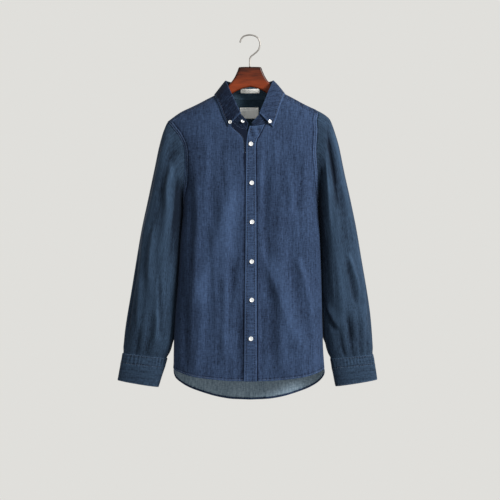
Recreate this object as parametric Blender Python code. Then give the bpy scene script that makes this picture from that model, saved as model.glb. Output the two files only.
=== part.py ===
"""A long-sleeved chambray shirt, buttoned up, hanging on a wooden hanger.

Tables are in millimetres and the meshes in metres. +Z is up, the front
faces -Y, and +X is the wearer's left. The origin is the inside of the top
of the hanger's hook, where a rail carries it.

The body is one surface, body_point(along, z, face). 'along' is the way round
a level section from the centre line to the side, and 'face' is -1 for the
front and +1 for the back. Each panel, the yoke, the placket and the collar
take their points from it, so that neighbours meet along one seam line.
"""
import math

import bmesh
import bpy
import numpy as np

for thing in list(bpy.data.objects):
    bpy.data.objects.remove(thing, do_unlink=True)

MM = 0.001
WALL = 1.2              # chambray with its turned seams
THICK_WALL = 1.6        # collar, placket and cuffs, cut double
SEAM_GAP = 0.3
CURVED_GAP = 0.5        # where a seam bends too much for straight edges to follow closely
FRONT, BACK = -1, 1
YOKE_DROP = 9.0         # the yoke's front seam, below the shoulder ridge
YOKE_BACK_Z = -255.0    # the yoke's back seam
UNDERARM_Z = -432.0
CORNER = 0.45           # share of the half width that rounds into the side

# Level sections of the body, from the neck to below the hem.
BODY = [
    # z, half width on -X, half width on +X, front depth, back depth, taper
    (-144, 74, 74, 36, 38, 0.42),
    (-153, 88, 93, 38, 41, 0.45),
    (-165, 111, 116, 40, 43, 0.48),
    (-177, 134, 138, 41, 45, 0.50),
    (-188, 157, 161, 42, 47, 0.52),
    (-197, 176, 182, 42, 48, 0.52),
    (-206, 190, 195, 43, 49, 0.50),
    (-215, 202, 205, 44, 50, 0.48),
    (-225, 213, 210, 45, 51, 0.46),
    (-240, 213, 209, 47, 52, 0.42),
    (-260, 207, 204, 49, 54, 0.37),
    (-300, 194, 193, 51, 56, 0.28),
    (-340, 184, 185, 53, 58, 0.21),
    (-386, 175, 178, 55, 59, 0.15),
    (-432, 171, 176, 56, 60, 0.12),
    (-528, 179, 181, 58, 61, 0.10),
    (-656, 187, 185, 60, 62, 0.10),
    (-800, 196, 188, 62, 64, 0.10),
    (-870, 197, 192, 64, 66, 0.10),
    (-960, 196, 194, 66, 68, 0.10),
]

# Long soft folds of the body: a ridge where the depth is above nought.
BODY_FOLDS = [
    # face, x at top, x at foot, z of top, z of foot, half width, depth
    (FRONT, -128, -150, -250, -800, 17, 3.5),
    (FRONT, -98, -112, -300, -900, 15, -3.0),
    (FRONT, -66, -72, -270, -930, 16, 3.0),
    (FRONT, -36, -34, -420, -930, 11, -2.0),
    (FRONT, 44, 40, -330, -930, 13, -2.2),
    (FRONT, 78, 74, -260, -900, 17, 3.2),
    (FRONT, 108, 112, -420, -930, 14, -3.0),
    (FRONT, 140, 146, -240, -760, 15, 3.2),
    (BACK, -132, -140, -290, -930, 19, 4.0),
    (BACK, -94, -100, -330, -960, 17, -3.4),
    (BACK, -52, -60, -290, -960, 20, 4.2),
    (BACK, -8, -4, -360, -980, 19, -3.6),
    (BACK, 38, 46, -290, -980, 19, 4.0),
    (BACK, 84, 88, -340, -960, 17, -3.2),
    (BACK, 126, 134, -290, -920, 19, 3.8),
]

# The neck seam on the front, and on the back, as far as the ridge.
NECK_FRONT = [
    # x, z on -X, z on +X
    (0, -247, -237),
    (20, -243, -236),
    (38, -232, -232),
    (54, -212, -212),
    (66, -188, -188),
    (73, -166, -166),
    (75, -155, -155),
    (75.4, -144.7, -144.7),
]
NECK_BACK = [
    # x, z
    (0, -162),
    (30, -160.5),
    (54, -156.5),
    (66, -152.8),
    (72, -149.5),
    (75.4, -144.7),
]

# Armhole seams, from the ridge to the underarm: how far each lies from the side.
ARMHOLE = {
    # z, from the side on the front, on the back
    -1: [(-222.5, 0, 0), (-225, 14, 12), (-230, 31, 26), (-240, 44, 37), (-258, 56, 45),
         (-284, 59, 46), (-338, 45, 34), (-386, 28, 18), (-415, 11, 7), (UNDERARM_Z, 0, 0)],
    1: [(-191.5, 0, 0), (-193, 20, 16), (-201, 40, 32), (-225, 71, 52), (-255, 66, 50),
        (-311, 52, 38), (-381, 24, 17), (-415, 9, 7), (UNDERARM_Z, 0, 0)],
}

# Where the pieces that meet at an armhole have their points, from ridge to underarm.
SEAM_SHARES = (0, 0.035, 0.08, 0.13, 0.19, 0.27, 0.36, 0.46, 0.56, 0.67, 0.78, 0.88, 0.95, 1)

# Hems: the back is cut longer than the front.
HEM = [
    # share of the way from centre to side, front z, back z
    (0.0, -887, -946),
    (0.2, -886.5, -944),
    (0.4, -883, -936),
    (0.6, -877, -920),
    (0.8, -866, -897),
    (0.92, -860, -880),
    (1.0, -856, -866),
]

# Front edges: the button side's, and the two edges of the placket over it.
BUTTON_EDGE = [(-248, -8), (-262, -6), (-285, 4), (-320, 12.5), (-930, 13.5)]
PLACKET_FREE = [(-237, -1.5), (-264, -7.9), (-290, -10), (-426, -11.2), (-930, -16.3)]
PLACKET_SEWN = [(-232, 37.7), (-258, 25.5), (-272, 17.5), (-290, 14.8), (-426, 16.1), (-930, 17.6)]
PLACKET_LIFT = 2.2
PLACKET_BUTTONS = [(2.3, -283), (4.3, -382.5), (5.1, -482), (4.3, -583), (4.3, -680.5), (2.3, -779)]

# Sleeves: the outer and inner edge of each ring, its half depth and its middle's y.
SLEEVE = {
    # outer x, outer z, inner x, inner z, half depth, y
    -1: [(-211, -222.5, -171, -432, 27, 0), (-214, -227, -173, -426, 28, 0),
         (-217, -233, -175, -424.5, 30, 0), (-220, -240, -176.5, -428, 32, 0),
         (-224, -250, -177, -440, 34, 1), (-229, -266, -177, -462, 37, 2),
         (-236, -292, -178.7, -492, 40, 3), (-247, -343, -181.8, -530, 43, 5),
         (-264, -425, -184.8, -578, 45, 7), (-281, -505, -188, -630, 46, 9),
         (-295, -585, -191.2, -682, 45, 11), (-308, -664, -194.2, -732, 43, 12),
         (-318, -728, -197.2, -772, 40, 12), (-325, -778, -202, -802, 34, 12),
         (-329.8, -819.5, -213.8, -832.5, 25, 12)],
    1: [(170, -191.5, 176, -432, 27, 0), (182, -197.5, 178, -426, 28, 0),
        (194, -205, 179.5, -424.5, 30, 0), (205, -215, 180.5, -428, 32, 0),
        (212, -229, 180.5, -440, 34, 1), (219, -248, 180.8, -462, 37, 2),
        (229, -282, 182, -492, 40, 3), (242, -345, 183.8, -530, 43, 5),
        (261, -430, 185.3, -578, 45, 7), (277, -508, 187.1, -630, 46, 9),
        (290, -586, 188.3, -682, 45, 11), (302, -660, 189.6, -732, 43, 12),
        (311, -726, 191, -772, 40, 12), (316, -778, 196, -802, 34, 12),
        (319.4, -822.5, 206.8, -833.5, 25, 12)],
}
CUFF = {
    # outer x, outer z, inner x, inner z, half depth, y
    -1: [(-330, -820, -214, -833, 25, 12), (-334, -842, -220, -855, 25, 12),
         (-339, -866, -228, -881, 25, 12), (-343.5, -890, -236, -908, 25, 12)],
    1: [(319.5, -823, 207, -834, 25, 12), (323, -844, 211, -857, 25, 12),
        (326.5, -866, 216, -881, 25, 12), (329.5, -888.5, 221, -906, 25, 12)],
}

# Folds along a sleeve: a ridge where the depth is above nought.
SLEEVE_FOLDS = {
    # degrees round from the outer edge by way of the front, half width in degrees,
    # first ring, last ring, depth
    -1: [(38, 15, 2, 11, 3.4), (68, 14, 1, 9, -4.4), (105, 17, 5, 13, 3.2), (140, 16, 2, 8, -3.0),
         (215, 18, 3, 11, 3.4), (260, 18, 2, 12, -3.6), (310, 18, 4, 13, 3.2)],
    1: [(34, 13, 4, 12, 3.4), (62, 14, 2, 10, -4.4), (100, 16, 4, 13, 3.2), (134, 15, 3, 9, -3.6),
        (220, 18, 3, 12, 3.6), (258, 17, 2, 11, -3.4), (312, 18, 5, 13, 3.0)],
}
# Pleats laid into the cuff, which open out up the sleeve.
CUFF_PLEATS = {
    # degrees round, half width in degrees, first ring, depth
    -1: [(64, 7, 11.3, -4.2), (92, 7, 11.0, -4.2), (250, 8, 11.5, -3.6)],
    1: [(40, 6, 11.5, -3.4), (62, 6, 11.2, -3.8), (88, 6, 11.0, -4.0), (112, 6, 11.6, -3.4),
        (252, 8, 11.5, -3.6)],
}

# Collar, from the centre back to the front end. The stand's foot is the neck
# seam; the roll is its top edge, and the leaf falls from there. 'neck' runs
# from 0 at the centre back, by 1 on the ridge, to 2 at the centre front.
COLLAR = {
    # face, neck, roll x, roll y, roll z, leaf edge's x, z
    -1: [(BACK, 0.0, 0, 43, -122, 0, -168),
         (BACK, 0.29, -28, 42, -121.5, -40, -167),
         (BACK, 0.53, -48, 34, -119.5, -69, -163.5),
         (BACK, 0.67, -58, 21, -118.5, -84, -160),
         (BACK, 0.87, -61.5, 7, -118.5, -90.5, -156.6),
         (FRONT, 1.0, -62.5, 0, -119, -91.5, -155.3),
         (FRONT, 1.07, -61.5, -11, -122, -90.5, -158),
         (FRONT, 1.21, -57, -26, -133, -85, -170),
         (FRONT, 1.37, -50, -37, -150, -77, -189),
         (FRONT, 1.53, -39, -47, -175, -69, -213),
         (FRONT, 1.70, -24.5, -55, -206, -56, -238.5)],
    1: [(BACK, 0.0, 0, 43, -122, 0, -168),
        (BACK, 0.29, 28, 42, -121.5, 40, -167),
        (BACK, 0.53, 47, 34, -119, 69, -163),
        (BACK, 0.67, 56, 21, -117.5, 83, -158.5),
        (BACK, 0.87, 59, 7, -117.5, 88.5, -153.5),
        (FRONT, 1.0, 60, 0, -118, 89.5, -151.5),
        (FRONT, 1.07, 58.5, -11, -122, 88.5, -155),
        (FRONT, 1.21, 54, -26, -134, 83, -168),
        (FRONT, 1.37, 47, -37, -151, 76, -188),
        (FRONT, 1.53, 37, -47, -176, 69, -213),
        (FRONT, 1.71, 24, -55, -206, 59, -240)],
}
# The stand's free ends, past the leaf, where its button is.
STAND_TAB = {
    # neck, roll x, roll y, roll z
    -1: [(1.835, -14, -56, -217), (1.95, -5, -56, -232)],
    1: [(1.85, 15, -55, -217), (1.97, 5, -55, -229)],
}

LEAF_LIFT = THICK_WALL + 1.0    # the leaf's outer face, off the fronts and the yoke
ROLL_RADIUS = 0.6               # the inside of the collar's fold

HANGER_HALF = 202.0
HANGER_CLEAR = 1.0              # below the inside of the yoke
HANGER_EDGE = [(-7, 5.5), (-5.8, 3.0), (-3.2, 1.0), (0, 0), (3.2, 1.0), (5.8, 3.0), (7, 5.5)]
HANGER_TOP = [(0, -80.6), (14, -80.6), (27.5, -81.5), (33, -93), (38, -104), (45, -115.5),
              (54, -126), (63, -136.5), (74, -148.5)]
HANGER_FOOT = [(0, -132.7), (16.5, -136), (32, -142), (47, -150.5), (70, -163.5), (95, -178),
               (140, -201), (170, -217), (188, -226.5)]
HOOK_WIRE = 4.0
HOOK_PATH = [(-26, -18), (-22, -7.5), (-13.5, -0.3), (0, 2), (13, -0.8), (22.7, -9.5), (26, -22),
             (22, -36), (10, -48), (2, -54.5), (-0.5, -62), (-0.5, -70), (-0.5, -80.3)]

BUTTON_RADIUS = 5.6
SMALL_BUTTON_RADIUS = 4.6
POINT_BUTTONS = [(-50.7, -227), (50.9, -225.5)]

# the neck label's rectangle inside the yoke, and the strip's inside the stand
NECK_LABEL_X, NECK_LABEL_Z = (-26, 22), (-181.5, -210)
NECK_LABEL_LIFT = -WALL - 0.7
STRIP_SHARES = (0.465, 0.535)   # of the stand's length
STRIP_ROWS = (0.30, 0.56)       # of the stand's height, from its top
LABEL_WALL = 1.0

# points along and down the pieces
FRONT_ROWS, BACK_ROWS = 22, 22
NECK_POINTS, SHOULDER_POINTS = 12, 9
BACK_COLUMNS, YOKE_ROWS, PLACKET_COLUMNS = 25, 9, 5
YOKE_SEAM_PARTS = (0.82, 0.62, 0.42, 0.2, 0)    # points of its back seam, corner to centre
SLEEVE_RINGS = (0, 0.6, 1.2, 2, 3, 4, 5.2, 6.4, 7.6, 8.8, 10, 11, 12, 13, 13.6, 14)
STAND_COLUMNS, LEAF_COLUMNS = 37, 31
SEARCH_COLUMNS = 301            # of a finer collar, to place its buttons
ROLL_DEGREES = (0, 60, 120, 180)
FALL_ROWS = 6

NEAR_PLACKET, RISE_REACH = 16, 45   # where the left front starts to rise to the placket
PLACKET_RISE = 1.2
CUFF_LAP = 285.0                # where the cuff's under end starts, in degrees round
CUFF_OVER = 16.0                # how far the upper end passes it
CUFF_LIFT_FROM, CUFF_LIFT_OVER = 338, 16
GAUNTLET_RINGS = (11.6, 13.9)
GAUNTLET_TURNS = (286, 293, 300, 307)
STAND_BUTTON = (-19, -227)
BUTTON_SIDES = 14
BUTTON_THICK = 0.46             # of its radius
BUTTON_PROFILE = [(0.86, 0), (1.0, 0.45), (0.90, 1.0), (0.62, 0.72)]

CLOTH = ((0.035, 0.065, 0.135), 0.85)           # colour and roughness
CLOTH_DARK = ((0.030, 0.058, 0.120), 0.88)
PLASTIC = ((0.82, 0.82, 0.80), 0.3)
WOOD = ((0.22, 0.055, 0.022), 0.35)
STEEL = ((0.62, 0.62, 0.63), 0.25, 1.0)         # and metallic
LABEL_GREY = ((0.45, 0.44, 0.42), 0.8)
LABEL_WHITE = ((0.80, 0.80, 0.76), 0.7)


# ---------------------------------------------------------------- curves

def through(table, x, column=1):
    """The table's column at x: a cubic through its rows that never overshoots them."""
    rows = np.array(sorted((row[0], row[column]) for row in table), float)
    knots, values = rows[:, 0], rows[:, 1]
    steep = np.diff(values) / np.diff(knots)
    before, after = np.append(steep[0], steep), np.append(steep, steep[-1])
    same_way = before * after > 0
    slopes = np.where(same_way, 2 * before * after / np.where(same_way, before + after, 1), 0)
    x = np.clip(x, knots[0], knots[-1])
    i = np.clip(np.searchsorted(knots, x) - 1, 0, len(knots) - 2)
    step = knots[i + 1] - knots[i]
    t = (x - knots[i]) / step
    rise = values[i] * (2 * t**3 - 3 * t**2 + 1) + values[i + 1] * (3 * t**2 - 2 * t**3)
    lean = slopes[i] * (t**3 - 2 * t**2 + t) + slopes[i + 1] * (t**3 - t**2)
    return rise + lean * step


def along_points(points, shares):
    """Points at shares of the length of a smooth curve through the given points."""
    points = np.array(points, float)
    steps = np.linalg.norm(np.diff(points, axis=0), axis=1)
    way = np.concatenate([[0], np.cumsum(steps)]) / steps.sum()
    columns = [through(list(zip(way, values)), np.asarray(shares, float)) for values in points.T]
    return np.stack(columns, axis=-1)


def ease(t):
    """0 to 1, level at both ends."""
    t = np.clip(t, 0, 1)
    return t * t * (3 - 2 * t)


# ---------------------------------------------------------------- the body's surface

def section(z, sign):
    """Half width, flat part, corner's radius and the way round it, at a level."""
    width = np.where(sign < 0, through(BODY, z, 1), through(BODY, z, 2))
    radius = CORNER * width
    depth = (through(BODY, z, 3) + through(BODY, z, 4)) / 2
    arc = math.pi / 2 * np.sqrt((radius**2 + depth**2) / 2)
    return width, width - radius, radius, arc


def side_way(z, sign):
    """The way round from the centre line to the side, at a level."""
    width, flat, radius, arc = section(z, sign)
    return flat + arc


def way_of_x(x, z):
    """The way round to the point whose distance across is x."""
    sign = np.where(x < 0, -1, 1)
    width, flat, radius, arc = section(z, sign)
    beyond = np.clip((np.abs(x) - flat) / radius, 0, 1)
    way = np.where(np.abs(x) <= flat, np.abs(x), flat + arc * np.arcsin(beyond) / (math.pi / 2))
    return sign * way


def body_point(way, z, face):
    """A point on the body's outer face."""
    way, z, face = np.broadcast_arrays(np.asarray(way, float), np.asarray(z, float), face)
    sign = np.where(way < 0, -1, 1)
    width, flat, radius, arc = section(z, sign)
    turn = np.clip(np.abs(way) - flat, 0, None) / arc * math.pi / 2
    x = np.where(turn > 0, flat + radius * np.sin(turn), np.abs(way))
    depth = np.where(face < 0, through(BODY, z, 3), through(BODY, z, 4))
    taper = 1 - through(BODY, z, 5) * (x / width) ** 2
    y = depth * np.cos(turn) * taper
    x = x * sign
    for fold_face, x_top, x_foot, z_top, z_foot, half, rise in BODY_FOLDS:
        share = np.clip((z - z_top) / (z_foot - z_top), 0, 1)
        middle = x_top + (x_foot - x_top) * share
        swell = ease((z_top - z) / 110) * ease((z - z_foot) / 140)
        bump = rise * swell * np.exp(-((x - middle) / half) ** 2) * np.cos(turn)
        y = y + np.where(face == fold_face, bump, 0)
    return np.stack([x, face * y, z], axis=-1)


def body_normal(way, z, face):
    """The outward normal of the body's outer face."""
    reach = 0.6
    way, z, face = np.broadcast_arrays(np.asarray(way, float), np.asarray(z, float), face)
    across = body_point(way + reach, z, face) - body_point(way - reach, z, face)
    down = body_point(way, z - reach, face) - body_point(way, z + reach, face)
    normal = np.cross(across, down) * face[..., None]
    return normal / np.linalg.norm(normal, axis=-1, keepdims=True)


def body_lift(way, z, face, lift):
    """A point that lies 'lift' outside the body's outer face."""
    return body_point(way, z, face) + body_normal(way, z, face) * np.asarray(lift)[..., None]


HEIGHTS = np.linspace(-144, -228, 400)
RIDGE_X = {sign: through(BODY, HEIGHTS, 1 if sign < 0 else 2) for sign in (-1, 1)}


def ridge_z(x, sign):
    """Height of the shoulder ridge at a distance across."""
    widths = np.maximum.accumulate(RIDGE_X[sign])
    return np.interp(np.abs(x), widths, HEIGHTS)


def neck_seam(sign, neck):
    """(x, z, face) of the neck seam: 0 at the centre back, 1 on the ridge, 2 in front."""
    neck = np.asarray(neck, float)
    column = 1 if sign < 0 else 2
    halves = []
    for face, rows in ((BACK, NECK_BACK), (FRONT, [(row[0], row[column]) for row in NECK_FRONT[::-1]])):
        x, z = along_points(rows, np.linspace(0, 1, 120)).T
        steps = np.linalg.norm(np.diff(body_point(way_of_x(x, z), z, face), axis=0), axis=1)
        way = np.concatenate([[0], np.cumsum(steps)]) / steps.sum()
        share = np.clip(neck if face == BACK else neck - 1, 0, 1)
        halves.append((np.interp(share, way, x), np.interp(share, way, z)))
    at_back = neck < 1
    x, z = (np.where(at_back, halves[0][i], halves[1][i]) for i in (0, 1))
    return sign * x, z, np.where(at_back, BACK, FRONT)


def neck_at_x(x, sign):
    """Where on the front's neck seam the distance across is x."""
    neck = np.linspace(1, 2, 400)
    return float(np.interp(-abs(x), -np.abs(neck_seam(sign, neck)[0]), neck))


def neck_at_drop(sign, drop):
    """Where the front's neck seam passes a drop below the ridge."""
    neck = np.linspace(1, 2, 400)
    return float(np.interp(drop, NECK_BACK[-1][1] - neck_seam(sign, neck)[1], neck))


def armhole_way(sign, face, shares):
    """(way, z) of the armhole seam at shares of its length, from ridge to underarm."""
    column = 1 if face < 0 else 2
    points = [(row[column], row[0]) for row in ARMHOLE[sign]]
    inset, z = along_points(points, shares).T
    z = np.maximum(z, UNDERARM_Z)
    return sign * (side_way(z, sign) - np.maximum(inset, 0)), z


def yoke_share(sign):
    """The share of the armhole's length at which the yoke's front seam ends."""
    shares = np.linspace(0, 0.5, 300)
    way, z = armhole_way(sign, FRONT, shares)
    drop = ridge_z(body_point(way, z, FRONT)[:, 0], sign) - z
    return float(np.interp(YOKE_DROP, drop, shares))


def back_seam_share(sign):
    """The share of the armhole's length at which the yoke's back seam ends."""
    shares = np.linspace(0, 1, 400)
    return float(np.interp(-YOKE_BACK_Z, -armhole_way(sign, BACK, shares)[1], shares))


def seam_shares(sign, face):
    """Shares of an armhole's length for its points, one of them where the yoke ends."""
    corner = yoke_share(sign) if face < 0 else back_seam_share(sign)
    shares = np.array(SEAM_SHARES)
    shares[np.argmin(np.abs(shares - corner))] = corner
    return shares, corner


# ---------------------------------------------------------------- solids

def material(name, colour, roughness, metallic=0.0):
    made = bpy.data.materials.new(name)
    made.use_nodes = True
    shader = made.node_tree.nodes["Principled BSDF"]
    shader.inputs["Base Color"].default_value = (*colour, 1)
    shader.inputs["Roughness"].default_value = roughness
    shader.inputs["Metallic"].default_value = metallic
    return made


def make_object(name, points, faces, finish, smooth=True):
    """One object from points in millimetres, its faces turned outward."""
    mesh = bpy.data.meshes.new(name)
    mesh.from_pydata([tuple(point * MM) for point in points], [], faces)
    work = bmesh.new()
    work.from_mesh(mesh)
    bmesh.ops.recalc_face_normals(work, faces=work.faces)
    if work.calc_volume(signed=True) < 0:
        bmesh.ops.reverse_faces(work, faces=work.faces)
    work.to_mesh(mesh)
    work.free()
    mesh.materials.append(material(name, *finish))
    if smooth:
        mesh.shade_smooth()
        mesh.set_sharp_from_angle(angle=math.radians(50))
    made = bpy.data.objects.new(name, mesh)
    bpy.context.collection.objects.link(made)
    return made


def wall(name, outer, inner, finish, ring=False):
    """A closed wall between two grids of points; a ring joins its last column to its first."""
    rows, columns = outer.shape[:2]
    count = rows * columns
    points = np.concatenate([outer.reshape(-1, 3), inner.reshape(-1, 3)])
    last = columns if ring else columns - 1
    faces = []
    for r in range(rows - 1):
        for c in range(last):
            d = (c + 1) % columns
            i, j, k, l = (r * columns + c, r * columns + d, (r + 1) * columns + d,
                          (r + 1) * columns + c)
            slant = np.linalg.norm(points[i] - points[k]) - np.linalg.norm(points[j] - points[l])
            for near in (((i, j, k), (i, k, l)) if slant < 0 else ((i, j, l), (j, k, l))):
                faces.append(near)
                faces.append(tuple(count + spot for spot in reversed(near)))
    rim = [((0, c), (0, (c + 1) % columns)) for c in range(last)]
    rim += [((rows - 1, (c + 1) % columns), (rows - 1, c)) for c in range(last)]
    if not ring:
        rim += [((r + 1, 0), (r, 0)) for r in range(rows - 1)]
        rim += [((r, columns - 1), (r + 1, columns - 1)) for r in range(rows - 1)]
    for (r1, c1), (r2, c2) in rim:
        first, second = r1 * columns + c1, r2 * columns + c2
        faces.append((second, first, count + first, count + second))
    return make_object(name, points, faces, finish)


def grid_normals(grid, ring=False):
    """Normals of a grid of points, as its rows and columns run."""
    if ring:
        across = np.roll(grid, -1, axis=1) - np.roll(grid, 1, axis=1)
    else:
        across = np.gradient(grid, axis=1)
    down = np.gradient(grid, axis=0)
    normal = np.cross(across, down)
    return normal / np.linalg.norm(normal, axis=-1, keepdims=True)


def body_wall(name, way, z, face, lift, thick, finish):
    """A wall that lies on the body's surface."""
    outer = body_lift(way, z, face, np.broadcast_to(lift, way.shape))
    inner = body_lift(way, z, face, np.broadcast_to(np.asarray(lift) - thick, way.shape))
    return wall(name, outer, inner, finish)


def coons(top, foot, start, end, sideways=1.0):
    """A grid between four edges: top and foot by columns, start and end by rows.

    'sideways' above 1 makes the side edges' bends die out sooner across the grid.
    """
    across = np.linspace(0, 1, len(top))[None, :, None]
    down = np.linspace(0, 1, len(start))[:, None, None]
    rows = top[None] * (1 - down) + foot[None] * down
    start_bend = start[:, None] - (top[0] * (1 - down) + foot[0] * down)
    end_bend = end[:, None] - (top[-1] * (1 - down) + foot[-1] * down)
    fade = np.array([sideways, 1.0])
    return rows + start_bend * (1 - across) ** fade + end_bend * across**fade


# ---------------------------------------------------------------- panels

def edge_heights(top_z, count):
    """Heights down a front edge to the hem, closer together near the neck."""
    return top_z + (through(HEM, 0.0, 1) - top_z) * np.linspace(0, 1, count) ** 1.3


def front_panel(name, sign, edge):
    """A front from its centre edge to the side seam, under the yoke."""
    gap = SEAM_GAP / 2
    neck_x, neck_z, _ = neck_seam(sign, np.linspace(neck_at_x(edge[0][1], sign),
                                                    neck_at_drop(sign, YOKE_DROP + gap),
                                                    NECK_POINTS))
    outward = np.array([0.5, -0.85]) * gap
    neck_x, neck_z = neck_x + sign * outward[0], neck_z + outward[1]
    shares, start_share = seam_shares(sign, FRONT)
    corner_way, corner_z = armhole_way(sign, FRONT, [start_share])
    corner_x = float(body_point(corner_way, corner_z, FRONT)[0, 0])
    seam_x = np.linspace(neck_x[-1], corner_x, SHOULDER_POINTS)[1:]
    seam_z = ridge_z(seam_x, sign) - YOKE_DROP - gap
    top_x = np.concatenate([neck_x, seam_x])
    top_z = np.concatenate([neck_z, seam_z])
    top = np.stack([way_of_x(top_x, top_z), top_z], axis=-1)

    shares = shares[shares >= start_share]
    arm_way, arm_z = armhole_way(sign, FRONT, shares)
    arm = np.stack([arm_way - sign * gap, arm_z], axis=-1)
    arm[0] = top[-1]
    hem_side = through(HEM, 1.0, 1)
    side_z = np.linspace(UNDERARM_Z, hem_side, FRONT_ROWS - len(shares) + 1)[1:]
    side = np.stack([sign * (side_way(side_z, sign) - gap), side_z], axis=-1)
    end = np.concatenate([arm, side])

    edge_z = edge_heights(top_z[0], len(end))
    start = np.stack([through(edge, edge_z), edge_z], axis=-1)
    start[0] = top[0]
    across = np.linspace(0, 1, len(top))
    foot_way = start[-1, 0] + (end[-1, 0] - start[-1, 0]) * across
    foot_z = through(HEM, np.abs(foot_way) / side_way(hem_side, sign), 1)
    foot = np.stack([foot_way, foot_z], axis=-1)
    foot[-1] = end[-1]
    foot[0] = start[-1]
    grid = coons(top, foot, start, end, sideways=2.5)
    way, z = grid[..., 0], grid[..., 1]
    near = ease((np.abs(way) - NEAR_PLACKET) / RISE_REACH) if sign > 0 else np.ones_like(way)
    return body_wall(name, way, z, FRONT, PLACKET_RISE * (1 - near), WALL, CLOTH)


def back_panel():
    """The back, from the yoke's seam to the long hem, side to side."""
    gap = SEAM_GAP / 2
    edges = []
    for sign in (-1, 1):
        shares, corner = seam_shares(sign, BACK)
        shares = shares[shares >= corner]
        arm_way, arm_z = armhole_way(sign, BACK, shares)
        rows = BACK_ROWS - len(shares) + 1
        side_z = np.linspace(UNDERARM_Z, through(HEM, 1.0, 2), rows)[1:]
        side = np.stack([sign * (side_way(side_z, sign) - gap), side_z], axis=-1)
        arm = np.stack([arm_way - sign * gap, arm_z], axis=-1)
        arm[0, 1] -= gap
        edges.append(np.concatenate([arm, side]))
    start, end = edges
    across = np.linspace(0, 1, BACK_COLUMNS)
    top_way = start[0, 0] + (end[0, 0] - start[0, 0]) * across
    top = np.stack([top_way, np.full(len(across), start[0, 1])], axis=-1)
    foot_way = start[-1, 0] + (end[-1, 0] - start[-1, 0]) * across
    half = np.where(foot_way < 0, -start[-1, 0], end[-1, 0])
    foot = np.stack([foot_way, through(HEM, np.abs(foot_way) / half, 2)], axis=-1)
    grid = coons(top, foot, start, end)
    body_wall("back", grid[..., 0], grid[..., 1], BACK, 0.0, WALL, CLOTH)


def yoke_half(sign):
    """Columns of the yoke from its front seam, over the ridge, to the centre back.

    Each column is a line from the neck seam to the armhole or the back seam, in
    distance across and drop below the ridge (less than nought on the front).
    """
    gap = SEAM_GAP / 2
    top_way, top_z = armhole_way(sign, FRONT, [0.0])
    top_x = abs(float(body_point(top_way, top_z, FRONT)[0, 0])) - gap
    fronts, corner = seam_shares(sign, FRONT)
    fronts = fronts[(fronts > 0) & (fronts <= corner)][::-1]
    backs, corner = seam_shares(sign, BACK)
    backs = backs[(backs > 0) & (backs <= corner)]
    outer = []
    for face, shares in ((FRONT, fronts), (BACK, backs)):
        way, z = armhole_way(sign, face, shares)
        x = np.abs(body_point(way, z, face)[:, 0]) - gap
        outer += list(zip(x, face * (ridge_z(x, sign) - z)))
        if face == FRONT:
            outer[0] = (outer[0][0], gap - YOKE_DROP)
            outer.append((top_x, 0))
    corner_x = outer[-1][0]
    outer[-1] = (corner_x, outer[-1][1] - gap)
    for part in YOKE_SEAM_PARTS:
        outer.append((corner_x * part, ridge_z(corner_x * part, sign) - (YOKE_BACK_Z + gap)))
    start = neck_at_drop(sign, YOKE_DROP - gap)
    neck = np.concatenate([np.linspace(start, 1, len(fronts) + 1),
                           np.linspace(1, 0, len(outer) - len(fronts))[1:]])
    x, z, face = neck_seam(sign, neck)
    x, z = np.abs(x), z - np.where(face > 0, gap, 0)
    inner = np.stack([x, face * np.maximum(ridge_z(x, sign) - z, 0)], axis=-1)
    share = np.linspace(0, 1, YOKE_ROWS)[:, None, None]
    return (inner[None] * (1 - share) + np.array(outer)[None] * share) * (sign, 1)


def yoke():
    """The yoke: over the shoulders, from its front seams round the neck to its back seam."""
    grid = np.concatenate([yoke_half(-1), yoke_half(1)[:, -2::-1]], axis=1)
    x, drop = grid[..., 0], grid[..., 1]
    z = np.where(x < 0, ridge_z(x, -1), ridge_z(x, 1)) - np.abs(drop)
    face = np.where(drop > 0, BACK, FRONT)
    body_wall("yoke", way_of_x(x, z), z, face, 0.0, WALL, CLOTH)


def placket():
    """The strip over the left front's edge, which carries the buttonholes."""
    top_x = np.linspace(PLACKET_FREE[0][1], PLACKET_SEWN[0][1] - SEAM_GAP, PLACKET_COLUMNS)
    top = np.stack([top_x, through(NECK_FRONT, np.abs(top_x), 2) - SEAM_GAP], axis=-1)
    edges = []
    for table, corner, shift in ((PLACKET_FREE, top[0], 0), (PLACKET_SEWN, top[-1], SEAM_GAP)):
        z = edge_heights(corner[1], FRONT_ROWS)
        edge = np.stack([through(table, z) - shift, z], axis=-1)
        edge[0] = corner
        edges.append(edge)
    across = np.linspace(0, 1, PLACKET_COLUMNS)[:, None]
    foot = edges[0][-1] * (1 - across) + edges[1][-1] * across
    grid = coons(top, foot, *edges)
    body_wall("placket", grid[..., 0], grid[..., 1], FRONT, PLACKET_LIFT, THICK_WALL, CLOTH)


# ---------------------------------------------------------------- sleeves and cuffs

def rings(table, t, turn):
    """Points of a tube whose rings are a table's rows, at ring t and angle turn."""
    steps = [(i, *row) for i, row in enumerate(table)]
    outer_x, outer_z, inner_x, inner_z, depth, y = (through(steps, t, c) for c in range(1, 7))
    x = (outer_x + inner_x) / 2 + (outer_x - inner_x) / 2 * np.cos(turn)
    z = (outer_z + inner_z) / 2 + (outer_z - inner_z) / 2 * np.cos(turn)
    return np.stack([x, y - depth * np.sin(turn), z], axis=-1)


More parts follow.
